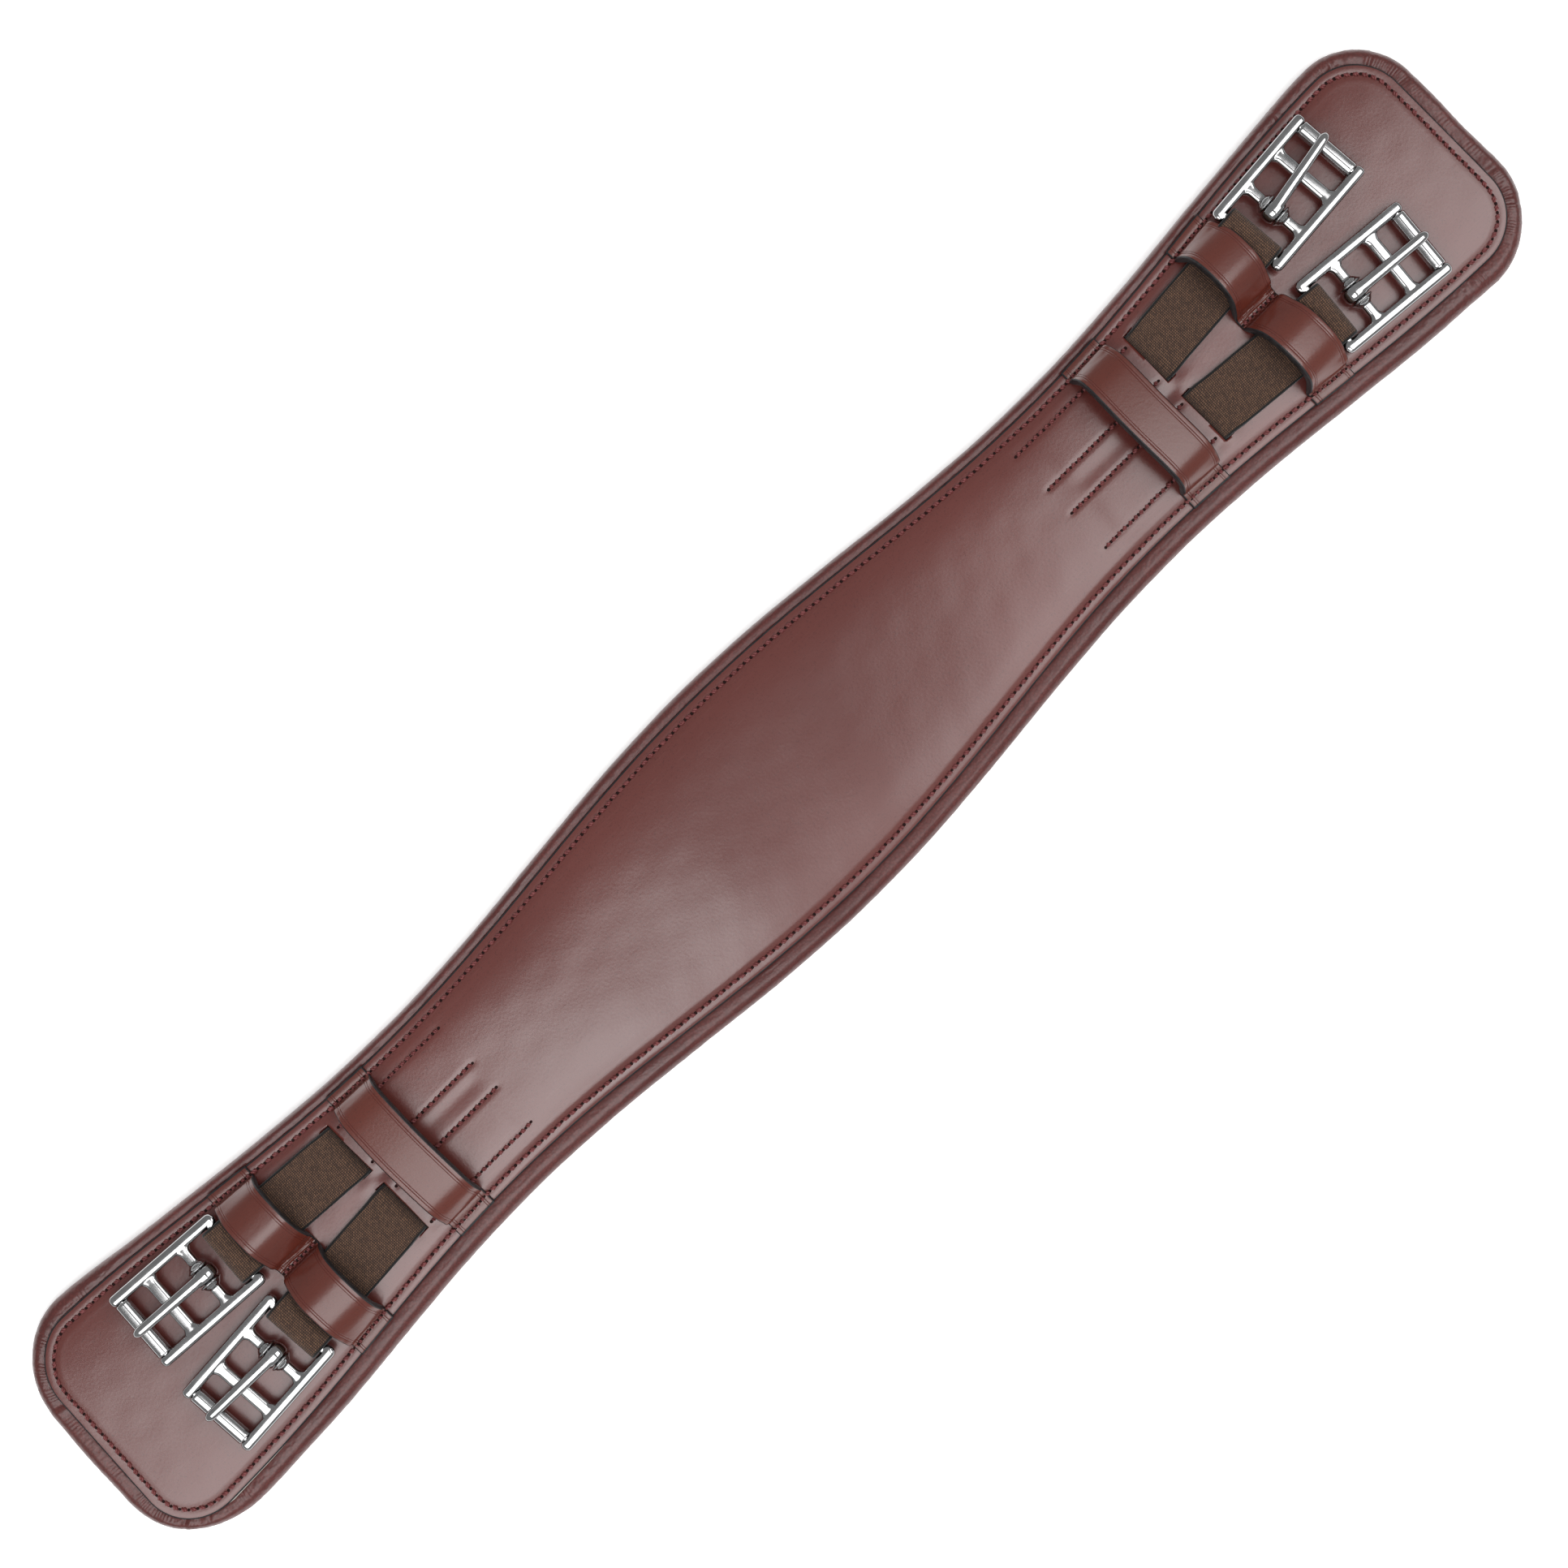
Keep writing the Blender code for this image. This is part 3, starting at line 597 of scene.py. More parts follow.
def elastic_weave():
    """Ribbed elastic: brown dashes in staggered rows between black selvedges."""
    look = Look("elastic_weave", Specular_IOR_Level=0.25, Sheen_Weight=0.25, Sheen_Roughness=0.5)
    along, across = look.measure()
    skewed = look.calc("ADD", across, look.calc("MULTIPLY", along, 0.42))
    across_mm, along_mm = (look.calc("MULTIPLY", value, 1000.0) for value in (skewed, along))
    place = look.node("CombineXYZ", across_mm, along_mm).outputs[0]
    brick = look.node("TexBrick", place, Scale=1.0, Color1=(0.200, 0.106, 0.064, 1.0),
                      Color2=(0.105, 0.056, 0.037, 1.0), Mortar=(0.012, 0.009, 0.008, 1.0),
                      Mortar_Size=0.17, Mortar_Smooth=0.6, Brick_Width=0.84, Row_Height=RIB_PITCH * 1000)
    brick.offset = 0.5
    brick.offset_frequency = 2
    fuzz = look.noise(1.0, 2.0, look.scaled((3500.0, 1200.0, 1200.0)))
    tone = look.mix(look.span(fuzz, 0.45, 0.75, 0.0, 0.30), brick.outputs["Color"], (0.035, 0.022, 0.015))
    side = look.calc("ABSOLUTE", across)
    selvedge = look.span(side, ELASTIC_WIDTH / 2 - 0.0013, ELASTIC_WIDTH / 2 - 0.0009)
    look.feed("Base Color", look.mix(selvedge, tone, (0.008, 0.008, 0.008)))
    look.feed("Roughness", look.span(fuzz, 0.3, 0.7, 0.72, 0.92))
    depth = look.calc("SUBTRACT", 1.0, brick.outputs["Fac"])
    look.feed("Normal", look.bump(look.calc("ADD", depth, fuzz), 0.00016, 0.7))
    return look.material


def polished_steel():
    """Cast stainless steel, polished by hand, so that it keeps a faint ripple."""
    look = Look("polished_steel", Metallic=1.0)
    smear = look.noise(120.0, 3.0)
    look.feed("Base Color", look.mix(look.span(smear, 0.35, 0.7), (0.46, 0.46, 0.465), (0.56, 0.56, 0.565)))
    fine = look.noise(1800.0, 2.0)
    dull = look.span(smear, 0.3, 0.7, 0.08, 0.14)
    look.feed("Roughness", look.calc("ADD", dull, look.span(fine, 0.5, 0.8, 0.0, 0.02)))
    ripple = look.bump(look.noise(160.0, 1.0), 0.00006, 0.20)
    look.feed("Normal", look.bump(fine, 0.000004, 0.3, ripple))
    return look.material


def foam():
    """Open-celled foam, hidden in the padding."""
    look = Look("foam", Specular_IOR_Level=0.2)
    shade = look.noise(300.0, 3.0)
    look.feed("Base Color", look.mix(shade, (0.42, 0.40, 0.36), (0.60, 0.58, 0.53)))
    look.feed("Roughness", look.span(shade, 0.3, 0.7, 0.88, 1.0))
    look.feed("Normal", look.bump(look.cells(900.0), 0.0002, 0.6))
    return look.material


def webbing():
    """Woven core webbing, hidden between the foam layers."""
    look = Look("webbing", Specular_IOR_Level=0.3)
    weave = look.noise(1.0, 2.0, look.scaled((2500.0, 500.0, 500.0)))
    look.feed("Base Color", look.mix(weave, (0.02, 0.02, 0.024), (0.06, 0.06, 0.07)))
    look.feed("Roughness", look.span(weave, 0.3, 0.7, 0.7, 0.9))
    look.feed("Normal", look.bump(weave, 0.0002, 0.6))
    return look.material


# Smooth bridle leather on the panel, and a tighter, redder strap leather on the keepers. Each leather's last
# number is how strongly its pale streaks show, partly grain and partly painted highlight.
LOOKS = {
    "panel": leather("panel_leather", (0.112, 0.0235, 0.0185), (0.142, 0.0320, 0.0255),
                     (0.055, 0.011, 0.009), 1300.0, 0.76, 0.24, 0.14),
    "keeper": leather("keeper_leather", (0.100, 0.0190, 0.0115), (0.128, 0.0255, 0.0155),
                      (0.050, 0.011, 0.007), 1500.0, 0.66, 0.15, 0.10),
    # The keepers' crease grooves: a darker leather, painted shade where the grooves would be shaded.
    "crease_shade": plain_look("painted_crease_shade", 300.0, 2.0, ((0.070, 0.0125, 0.0100), (0.100, 0.0180, 0.0140)),
                         (0.0, 1.0), (0.5, 0.65), Specular_IOR_Level=0.3),
    "edge": plain_look("edge_dye", 260.0, 3.0, ((0.008, 0.009, 0.011), (0.024, 0.022, 0.023)),
                       (0.35, 0.75), (0.38, 0.55), (900.0, 0.00010, 0.5), Specular_IOR_Level=0.45),
    "thread": plain_look("waxed_thread", 900.0, 2.0, ((0.135, 0.030, 0.030), (0.250, 0.070, 0.070)),
                         (0.35, 0.7), (0.42, 0.60), (3200.0, 0.00006, 0.6), Specular_IOR_Level=0.5),
    # Awl holes: near black, painted shade standing in for the holes in the leather.
    "hole": plain_look("awl_hole_shade", 1500.0, 2.0, ((0.009, 0.003, 0.003), (0.026, 0.008, 0.007)),
                       (0.3, 0.7), (0.75, 0.95), Specular_IOR_Level=0.2),
    "floor": plain_look("floor_paint", 3.0, 2.0, ((0.90, 0.90, 0.90), (0.93, 0.93, 0.93)),
                        (0.0, 1.0), (0.85, 0.95), Specular_IOR_Level=0.2,
                        Emission_Color=(1.0, 1.0, 1.0, 1.0), Emission_Strength=FLOOR_GLOW),
    "lining": lining_leather(),
    "elastic": elastic_weave(),
    "steel": polished_steel(),
    "foam": foam(),
    "webbing": webbing(),
}


def dress(piece, *names):
    """Gives a piece its materials, by their short names."""
    piece.data.materials.clear()
    for name in names:
        piece.data.materials.append(LOOKS[name])


# ---------------------------------------------------------------- panel
def make_panel():
    """The stitched leather panel: crowned over the padding, with a sunk seam and slits."""
    outline = panel_outline(0.0011, 0.0016)
    top_insets = np.array([0.7, 1.1, 1.6, 2.2, 2.7, 3.1, 3.5, 3.9, 4.3, 4.7, 5.1, 5.6, 6.2, 6.9,
                           7.7, 8.8, 10.4, 12.4]) * MM
    rows = []
    for share in np.linspace(1.0, 0.0, 34, endpoint=False):
        plan = outline.inner_ring(top_insets[-1], share)
        rows.append(np.column_stack([plan, panel_height(*plan.T)]))
    for inset in top_insets[::-1]:
        plan = outline.ring(inset)
        rows.append(np.column_stack([plan, panel_height(*plan.T)]))
    top_rows = len(rows)
    rim = panel_height(*outline.ring(0.7 * MM).T)
    cut_edge = ((0.40, -0.05), (0.15, -0.22), (0.0, -0.60), (0.0, -1.5), (0.15, -1.95), (0.6, -2.15))
    for inset, drop in cut_edge:
        rows.append(np.column_stack([outline.ring(inset * MM), rim + drop * MM]))
    bottom = rim - 2.15 * MM
    for share in (0.0, 0.25, 0.5, 0.75, 1.0):
        level = bottom * (1 - share) + (PANEL_BOTTOM - 0.0009) * share
        rows.append(np.column_stack([outline.inner_ring(3.0 * MM, share), level]))
    faces = grid_faces(len(rows), outline.count, close_columns=True)
    piece = new_mesh("outer_panel_leather", np.concatenate(rows), faces)
    dress(piece, "panel", "edge")
    strips = np.zeros(len(piece.data.polygons), np.int32)
    strips[(top_rows - 1) * outline.count:(top_rows + 4) * outline.count] = EDGE
    piece.data.polygons.foreach_set("material_index", strips)
    weld(piece, 2e-6)
    for name in STRAPS:
        cut_slit(piece, name)
    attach(piece, "root")
    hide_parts("outer_panel")


def cut_slit(piece, name):
    """Cuts one strap's slit through the panel."""
    sign = end_sign(name)
    centre_x = SLOT_X[end_of(name)] + sign * (SLIT_START + SLIT_END) / 2
    bpy.ops.mesh.primitive_cube_add(size=1.0, location=(centre_x, SLOT_Y[name], PANEL_TOP))
    cutter = bpy.context.active_object
    cutter.scale = (SLIT_END - SLIT_START, ELASTIC_WIDTH + 0.0008, 0.02)
    cutter.data.materials.append(LOOKS["edge"])
    modifier = piece.modifiers.new("slit", "BOOLEAN")
    modifier.operation = "DIFFERENCE"
    modifier.object = cutter
    modifier.material_mode = "TRANSFER"
    apply_modifiers(piece)
    bpy.data.objects.remove(cutter, do_unlink=True)


# ---------------------------------------------------------------- lining
def lining_rows(outline):
    """The lining's skin, row by row: up inside the tray, over the roll and underneath.

    Returns the points as rows by columns, and whether each row may move."""
    gap = rim_gap(outline)
    seam = gap + SEAM_INSET
    bulge = corner_bulge(*outline.points.T)
    rows = []
    free = []

    def add(inset, z, moves=0.0):
        plan = outline.ring(inset)
        rows.append(np.column_stack([plan, np.broadcast_to(z, outline.count)]))
        free.append(moves)

    def add_flat(inset, share, z):
        rows.append(np.column_stack([outline.inner_ring(inset, share), np.full(outline.count, z)]))
        free.append(0.0)

    for share in (1.0, 0.5):
        add_flat(seam, share, TRAY_FLOOR)
    for z in (TRAY_FLOOR, 5.0 * MM, 9.0 * MM):
        add(seam, z)
    edge_low = panel_height(*outline.ring(gap + 0.0009).T) - 0.00225
    mouth_z = np.minimum(edge_low, PANEL_BOTTOM - 0.0003)
    add(seam, mouth_z - 0.0002)
    mouth = gap + MOUTH_INSET
    crest = ROLL_CREST * gap
    crest_z = mouth_z + ROLL_DIP
    for index, angle in enumerate(np.linspace(math.pi, -math.pi / 2, ROLL_ROWS)):
        out, up = math.cos(angle), math.sin(angle)
        if out < 0:
            place = crest - out * (mouth - crest)
            level = crest_z - ROLL_DIP * (1 - up)
        elif up > 0:
            place = crest * (1 - out)
            level = ROLL_CENTRE + (crest_z - ROLL_CENTRE) * up
        else:
            place = 0.0066 * (1 - out)
            level = ROLL_CENTRE * (1 + up)
        add(place - bulge * max(out, 0.0), level, 0.0 if index == 0 else 1.0)
    for inset in (9.0, 11.5, 15.0):
        add(inset * MM, 0.0)
    for share in np.linspace(0.0, 1.0, 8)[1:]:
        add_flat(15.0 * MM, share, 0.0)
    return np.stack(rows), np.array(free)


def rim_gap(outline):
    """How far each point of the rim is from the panel's edge, straight in."""
    near = np.full(outline.count, 0.003)
    far = np.full(outline.count, 0.016)
    for _ in range(24):
        middle = (near + far) / 2
        inside = panel_distance(*outline.ring(middle).T) > 0
        far = np.where(inside, middle, far)
        near = np.where(inside, near, middle)
    return (near + far) / 2


def corner_share(x, y):
    """1 at the girth's corners, fading out along its ends and sides."""
    x = np.abs(x)
    y = np.abs(y)
    return smooth_step(x, 0.345, 0.395) * smooth_step(y, 0.010, 0.036)


def end_share(x):
    """1 at the girth's ends, fading out along its sides."""
    return smooth_step(np.abs(x), 0.330, 0.385)


def make_lining():
    """The padded lining, whose rolled rim is gathered round the corners by a cloth pass."""
    fine = rim_outline(0.00036, 0.0018)
    points, free = lining_rows(fine)
    coarse = rim_outline(0.0016, 0.0024)
    start, _ = lining_rows(coarse)
    points = points + spread(gather(start, free, coarse), coarse, fine)
    points = pleat(points, free, fine)
    points[:, :, 2] = np.maximum(points[:, :, 2], 0.0)
    faces = grid_faces(len(points), fine.count, close_columns=True)
    piece = new_mesh("lining_with_rolled_edge", points.reshape(-1, 3), faces)
    dress(piece, "lining")
    weld(piece, 2e-6)
    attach(piece, "root")
    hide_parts("padded_lining")


def pleat(points, free, outline):
    """Short gathers beside the panel's edge, and a few deeper folds at the corners."""
    x, y = points[:, :, 0], points[:, :, 1]
    first = int(np.argmax(free > 0))
    count = int(free.sum())
    share = np.zeros(len(free))
    share[first:first + count] = np.linspace(0.0, 1.0, count)
    share = share[:, None]
    run = outline.run[None, :]
    # The gathers: a wave round the rim that wanders, comes and goes, and fades down the roll.
    strength = 0.10 + 0.25 * end_share(x) + 0.65 * corner_share(x, y)
    wander = np.sin(run / 0.0071 + 1.3) + np.sin(run / 0.0043 + 3 * share) + 0.7 * np.sin(run / 0.0017)
    wave = np.sin(run * math.tau / 0.00155 + 1.6 * wander + 9.0 * share)
    uneven = 0.5 + 0.5 * np.sin(run / 0.0052 + 2.0 * np.sin(run / 0.0167))
    uneven = uneven * (0.7 + 0.5 * np.sin(run / 0.0024))
    middle = 0.24 + 0.05 * np.sin(run / 0.0031) + 0.05 * np.sin(run / 0.0013)
    lift = 0.00014 * strength * wave * uneven * np.exp(-((share - middle) / 0.16) ** 2)
    # The folds: each a slanting furrow with a soft ridge beside it.
    fade = np.exp(-((share - 0.26) / 0.24) ** 2)
    for place, depth, width in corner_folds(outline):
        away = (run - place + 0.0035 * share) / width
        ridge = 0.55 * np.exp(-((away - 1.9) / 1.2) ** 2)
        lift = lift - depth * fade * (np.exp(-away ** 2) - ridge)
    # The padding's unevenness inside the roll.
    swell = 0.00035 * np.sin(run / 0.021 + 1.0) * np.sin(run / 0.0133) * (0.3 + end_share(x))
    lift = lift + swell * np.sin(math.pi * share)
    return points + surface_normals(points) * (lift * (free[:, None] > 0))[:, :, None]


def corner_folds(outline):
    """Places round the rim of the deeper folds: how far round, how deep and how wide."""
    chance = np.random.default_rng(RNG_SEED)
    folds = []
    spots = outline.run[corner_share(*outline.points.T) > 0.25]
    for _ in range(FOLD_COUNT):
        place = spots[chance.integers(len(spots))]
        folds.append((place, chance.uniform(0.00012, 0.00060), chance.uniform(0.0010, 0.0028)))
    return folds


def surface_normals(points):
    """Outward normals of a grid of points whose columns close."""
    down = np.gradient(points, axis=0)
    round_the_rim = np.roll(points, -1, axis=1) - np.roll(points, 1, axis=1)
    normal = np.cross(round_the_rim, down)
    normal /= np.maximum(np.linalg.norm(normal, axis=2), 1e-12)[:, :, None]
    return -normal


def spread(move, coarse, fine):
    """Carries a movement of the coarse grid over to the fine one."""
    run = np.concatenate([coarse.run, [coarse.length]])
    result = np.zeros((len(move), fine.count, 3))
    for row in range(len(move)):
        for axis in range(3):
            values = np.append(move[row, :, axis], move[row, 0, axis])
            result[row, :, axis] = np.interp(fine.run, run, values)
    return result


def gather(start, free, outline):
    """Cloth pass: the lining has more length than its seam, so it puckers as it fills.

    Returns how far each point moved."""
    x, y, z = (start[:, :, axis] for axis in range(3))
    high = smooth_step(z, 0.0030, 0.0100)
    spare = (0.02 + 0.07 * end_share(x) + 0.20 * corner_share(x, y)) * high
    points = start.reshape(-1, 3)
    faces = grid_faces(len(start), outline.count, close_columns=True)
    piece = new_mesh("cloth_pass", points, faces)
    hold = piece.vertex_groups.new(name="hold")
    loose = piece.vertex_groups.new(name="loose")
    held = np.repeat(free < 0.5, outline.count)
    hold.add([int(index) for index in np.flatnonzero(held)], 1.0, "REPLACE")
    levels = np.round(spare.reshape(-1) / 0.40 * 40) / 40
    for level in np.unique(levels):
        if level > 0:
            loose.add([int(index) for index in np.flatnonzero(levels == level)], float(level), "REPLACE")
    chance = np.random.default_rng(RNG_SEED)
    jitter = chance.normal(0.0, 0.00005, points.shape) * ~held[:, None]
    piece.data.vertices.foreach_set("co", (points + jitter).astype(np.float32).ravel())
    cloth = piece.modifiers.new("cloth", "CLOTH")
    for setting, value in CLOTH_SETTINGS.items():
        setattr(cloth.settings, setting, value)
    cloth.settings.effector_weights.gravity = 0.0
    cloth.collision_settings.use_collision = False
    scene = bpy.context.scene
    for frame_number in range(1, CLOTH_FRAMES + 1):
        scene.frame_set(frame_number)
    depsgraph = bpy.context.evaluated_depsgraph_get()
    solved = piece.evaluated_get(depsgraph)
    result = solved.to_mesh()
    moved = np.zeros(len(points) * 3, np.float32)
    result.vertices.foreach_get("co", moved)
    solved.to_mesh_clear()
    bpy.data.objects.remove(piece, do_unlink=True)
    scene.frame_set(1)
    move = moved.reshape(-1, 3).astype(float) - points
    far = np.linalg.norm(move, axis=1)
    kept = LARGEST_PUCKER * np.tanh(far / LARGEST_PUCKER)
    move *= (kept / np.maximum(far, 1e-9))[:, None]
    return move.reshape(start.shape)


# ---------------------------------------------------------------- keepers
def keeper_path(place, kind):
    """The keeper's inner line as (y, z) over the panel, with its feet on the panel."""
    centre_x = place["x"]
    edge = float(half_width(centre_x)) - PANEL_INSET - 0.0003
    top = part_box(f"{kind}_keeper_{'near' if centre_x > 0 else 'off'}")[1][2]
    height = top - PANEL_TOP - KEEPER_THICKNESS
    feet = (-edge + KEEPER_FOOT[kind], edge - place["front_foot"])
    spans = [feet]
    if place["valley"] is not None:
        valley = place["valley"]
        spans = [(feet[0], valley - KEEPER_VALLEY / 2), (valley + KEEPER_VALLEY / 2, feet[1])]
    y = [np.linspace(-edge, feet[0], 12, endpoint=False)]
    rise = [np.zeros(12)]
    for index, (start, stop) in enumerate(spans):
        across = np.linspace(-math.pi / 2, math.pi / 2, 84)
        across = 0.55 * np.sin(across) + 0.45 * across / (math.pi / 2)
        y.append((start + stop) / 2 + (stop - start) / 2 * across)
        power = np.full_like(across, 11.0 if kind == "wide" else 3.8)
        ease = np.full_like(across, 1.12)
        if kind == "twin":
            to_valley = across > 0 if index == 0 else across < 0
            power[to_valley] = 2.5
            ease[to_valley] = 1.15 if index == 0 else 2.1
        crown = 1 - (0.12 if kind == "wide" else 0.0) * across ** 2
        rise.append(height * crown * np.maximum(1 - np.abs(across) ** power, 0) ** ease)
        if index + 1 < len(spans):
            gap = np.linspace(stop, spans[index + 1][0], 16)[1:-1]
            y.append(gap)
            rise.append(np.zeros_like(gap))
    y.append(np.linspace(feet[1], edge, 12)[1:])
    rise.append(np.zeros(11))
    y = np.concatenate(y)
    rise = np.concatenate(rise)
    for _ in range(5):
        rise[1:-1] = (rise[:-2] + 2 * rise[1:-1] + rise[2:]) / 4
    y = y + float(panel_shift(centre_x))
    ground = panel_height(np.full_like(y, centre_x), y)
    for start, stop in spans:
        start, stop = (at + float(panel_shift(centre_x)) for at in (start, stop))
        inside = (y >= start) & (y <= stop)
        ends = panel_height(np.full(2, centre_x), np.array([start, stop]))
        ground[inside] = np.interp(y[inside], (start, stop), ends)
    return y, ground + 0.00005 + rise, rise / height


def band_section(width):
    """Across a keeper's finished face: places on its width, how deep the face is cut there, and the
    material of the strip that follows. Two creases are pressed in near each edge, and their grooves get a
    darker leather that is painted shade."""
    reach = width / 2
    steps = [(0.0, 0.80, EDGE), (0.10, 0.42, EDGE), (0.32, 0.15, EDGE), (0.55, 0.05, FACE),
             (1.0, 0.0, FACE), (1.7, 0.0, FACE), (2.20, 0.02, CREASE_SHADE), (2.30, 0.11, CREASE_SHADE),
             (2.40, 0.02, FACE), (2.7, 0.0, FACE), (3.0, 0.0, FACE), (3.22, 0.02, CREASE_SHADE),
             (3.31, 0.09, CREASE_SHADE), (3.40, 0.02, FACE), (3.7, 0.0, FACE), (4.6, -0.02, FACE),
             (5.6, -0.03, FACE), (6.6, -0.05, FACE), (7.6, -0.05, FACE), (8.6, -0.06, FACE),
             (9.6, -0.06, FACE)]
    left = [(-reach + inset * MM, drop * MM, strip) for inset, drop, strip in steps]
    strips_before = [EDGE] + [strip for _, _, strip in steps[:-1]]
    right = [(reach - inset * MM, drop * MM, strip)
             for (inset, drop, _), strip in zip(steps, strips_before)]
    return left + [(0.0, -0.06 * MM, FACE)] + right[::-1]


def make_keeper(kind, end_name):
    """A leather band with pressed creases, sewn down by its feet and arched over the straps."""
    place = KEEPER_PLACES[kind, end_name]
    y, z, share = keeper_path(place, kind)
    line = np.column_stack([y, z])
    along = np.gradient(line, axis=0)
    along /= np.linalg.norm(along, axis=1)[:, None]
    normal = np.column_stack([-along[:, 1], along[:, 0]])
    for _ in range(8):
        normal[1:-1] = (normal[:-2] + 2 * normal[1:-1] + normal[2:]) / 4
    normal /= np.linalg.norm(normal, axis=1)[:, None]
    thick = FOOT_THICKNESS + (KEEPER_THICKNESS - FOOT_THICKNESS) * smooth_step(share, 0.0, 0.35)
    run = np.concatenate([[0.0], np.cumsum(np.linalg.norm(np.diff(line, axis=0), axis=1))])
    reach = place["width"] / 2
    tip = math.radians(place["tip"]) * smooth_step(share, -0.05, 0.75)
    wander = 0.0003 * np.sin(run / 0.011) * smooth_step(share, 0.1, 0.6)
    finished = band_section(place["width"])
    under = [(reach, 0.0005, EDGE), (reach - 0.0005, 0.0, FACE), (0.0, 0.0, FACE),
             (-reach + 0.0005, 0.0, EDGE), (-reach, 0.0005, EDGE)]
    rows = []
    strips = []
    for index, (x, drop, strip) in enumerate(finished + under):
        lift = np.full_like(y, drop)
        if index < len(finished):
            lift = thick - drop + keeper_creases(place, kind, x, y)
        side = x * np.cos(tip) * (1 + KEEPER_SPREAD * share) + lift * normal[:, 1] * np.sin(tip)
        here = place["x"] + side + place["lean"] * share + wander
        level = z + normal[:, 1] * lift * np.cos(tip) - x * np.sin(tip) * np.minimum(share * 1.6, 1.0)
        # The feet follow the panel's edge, which isn't parallel to the girth.
        widen = (half_width(here) - PANEL_INSET) / (half_width(place["x"]) - PANEL_INSET)
        widen = 1 + (widen - 1) * (1 - share)
        rows.append(np.column_stack([here, (y + normal[:, 0] * lift) * widen, level]))
        strips.append(strip)
    count = len(y)
    piece = new_mesh(f"{kind}_keeper_leather_{end_name}", np.concatenate(rows), band_faces(len(rows), count))
    dress(piece, "keeper", "edge", "crease_shade")
    strips = np.repeat(strips, count - 1).reshape(-1, count - 1)
    strips[:, [0, -1]] = EDGE
    strips = np.append(strips.ravel(), [EDGE, EDGE]).astype(np.int32)
    piece.data.polygons.foreach_set("material_index", strips)
    weld(piece, 1e-7)
    piece.data.set_sharp_from_angle(angle=math.radians(55))
    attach(piece, "root")
    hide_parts(f"{kind}_keeper_{end_name}")


def keeper_creases(place, kind, x, y):
    """Fine pleats where a keeper is sewn down, and the bends where it turns up."""
    middle = panel_shift(place["x"])
    edge = float(half_width(place["x"])) - PANEL_INSET - KEEPER_FOOT[kind]
    turn = np.exp(-((np.abs(y - middle) - edge + 0.0012) / 0.0022) ** 2)
    result = turn * 0.00005 * np.sin(y / 0.00030 + 2.0 * np.sin(x / 0.0031))
    if kind != "twin":
        return result
    away = y - place["valley"] - middle
    near = np.exp(-((away - 0.0022) / 0.0040) ** 2)
    pleats = np.sin(y / 0.00018 + 2.4 * np.sin(x / 0.0036) + 2.6 * np.sin(y / 0.0010 + x / 0.0052))
    pleats = pleats * (0.6 + 0.4 * np.sin(x / 0.0023 + y / 0.0017))
    return result + near * pleats * 0.00022 - np.exp(-(away / 0.0012) ** 2) * 0.0006


# ---------------------------------------------------------------- stitches
def thread_mesh(name, starts, ends):
    """Short bars of two-strand twisted thread from hole to hole, dipping into the leather."""
    starts = np.asarray(starts, float)
    along = np.asarray(ends, float) - starts
    length = np.linalg.norm(along, axis=1)
    along /= length[:, None]
    side = np.column_stack([-along[:, 1], along[:, 0], np.zeros(len(starts))])
    side /= np.linalg.norm(side, axis=1)[:, None]
    up = np.cross(along, side)
    share = np.linspace(0.0, 1.0, THREAD_STEPS)
    turn = np.linspace(0.0, math.tau, THREAD_SIDES, endpoint=False)
    swell = 0.45 + 0.55 * np.sin(math.pi * share) ** 0.5
    rise = np.sin(math.pi * share) ** 0.5 * 0.00080 - 0.00034
    middle = starts[:, None, :] + along[:, None, :] * (share[None, :, None] * length[:, None, None])
    middle = middle + up[:, None, :] * rise[None, :, None]
    strands = []
    for phase in (0.0, math.pi):
        twist = phase + share * math.tau * 0.95
        out_side = THREAD_RADIUS * 0.50 * np.cos(twist) * swell
        out_up = THREAD_RADIUS * 0.38 * np.sin(twist) * swell
        radius = THREAD_RADIUS * 0.60 * swell
        sideways = out_side[:, None] + radius[:, None] * np.cos(turn)[None, :]
        upwards = out_up[:, None] + radius[:, None] * np.sin(turn)[None, :] * 0.9
        strands.append(middle[:, :, None, :] + side[:, None, None, :] * sideways[None, :, :, None]
                       + up[:, None, None, :] * upwards[None, :, :, None])
    points = np.stack(strands, axis=1).reshape(-1, 3)
    one = tube_faces(THREAD_STEPS, THREAD_SIDES)
    return new_mesh(name, points, repeated(one, 2 * len(starts), THREAD_STEPS * THREAD_SIDES))


def hole_shade_mesh(name, centres, along, sunk, seed):
    """Painted shade of the awl holes: dark dishes, each a little longer than wide, laid on the leather where
    the holes are.
    """
    chance = np.random.default_rng(seed)
    turn = np.linspace(0.0, math.tau, HOLE_SIDES, endpoint=False)
    count = len(centres)
    along = np.asarray(along)
    across = np.column_stack([-along[:, 1], along[:, 0]])
    long = HOLE_RADIUS * chance.uniform(0.90, 1.25, count)[:, None] * np.cos(turn)
    wide = HOLE_RADIUS * chance.uniform(0.75, 1.00, count)[:, None] * np.sin(turn)
    rim = along[:, None, :] * long[:, :, None] + across[:, None, :] * wide[:, :, None]
    middle = centres[:, None, :2]
    plan = np.concatenate([middle + rim, middle + 0.7 * rim, middle], axis=1)
    height = stitched_height(plan[:, :, 0], plan[:, :, 1]) - sunk[:, None]
    height[:, :HOLE_SIDES] += 0.00005
    height[:, HOLE_SIDES:] += 0.00010
    one = grid_faces(2, HOLE_SIDES, close_columns=True)
    one += [[HOLE_SIDES + step, HOLE_SIDES + (step + 1) % HOLE_SIDES, 2 * HOLE_SIDES]
            for step in range(HOLE_SIDES)]
    return new_mesh(name, np.dstack([plan, height]).reshape(-1, 3),
                    repeated(one, count, 2 * HOLE_SIDES + 1))


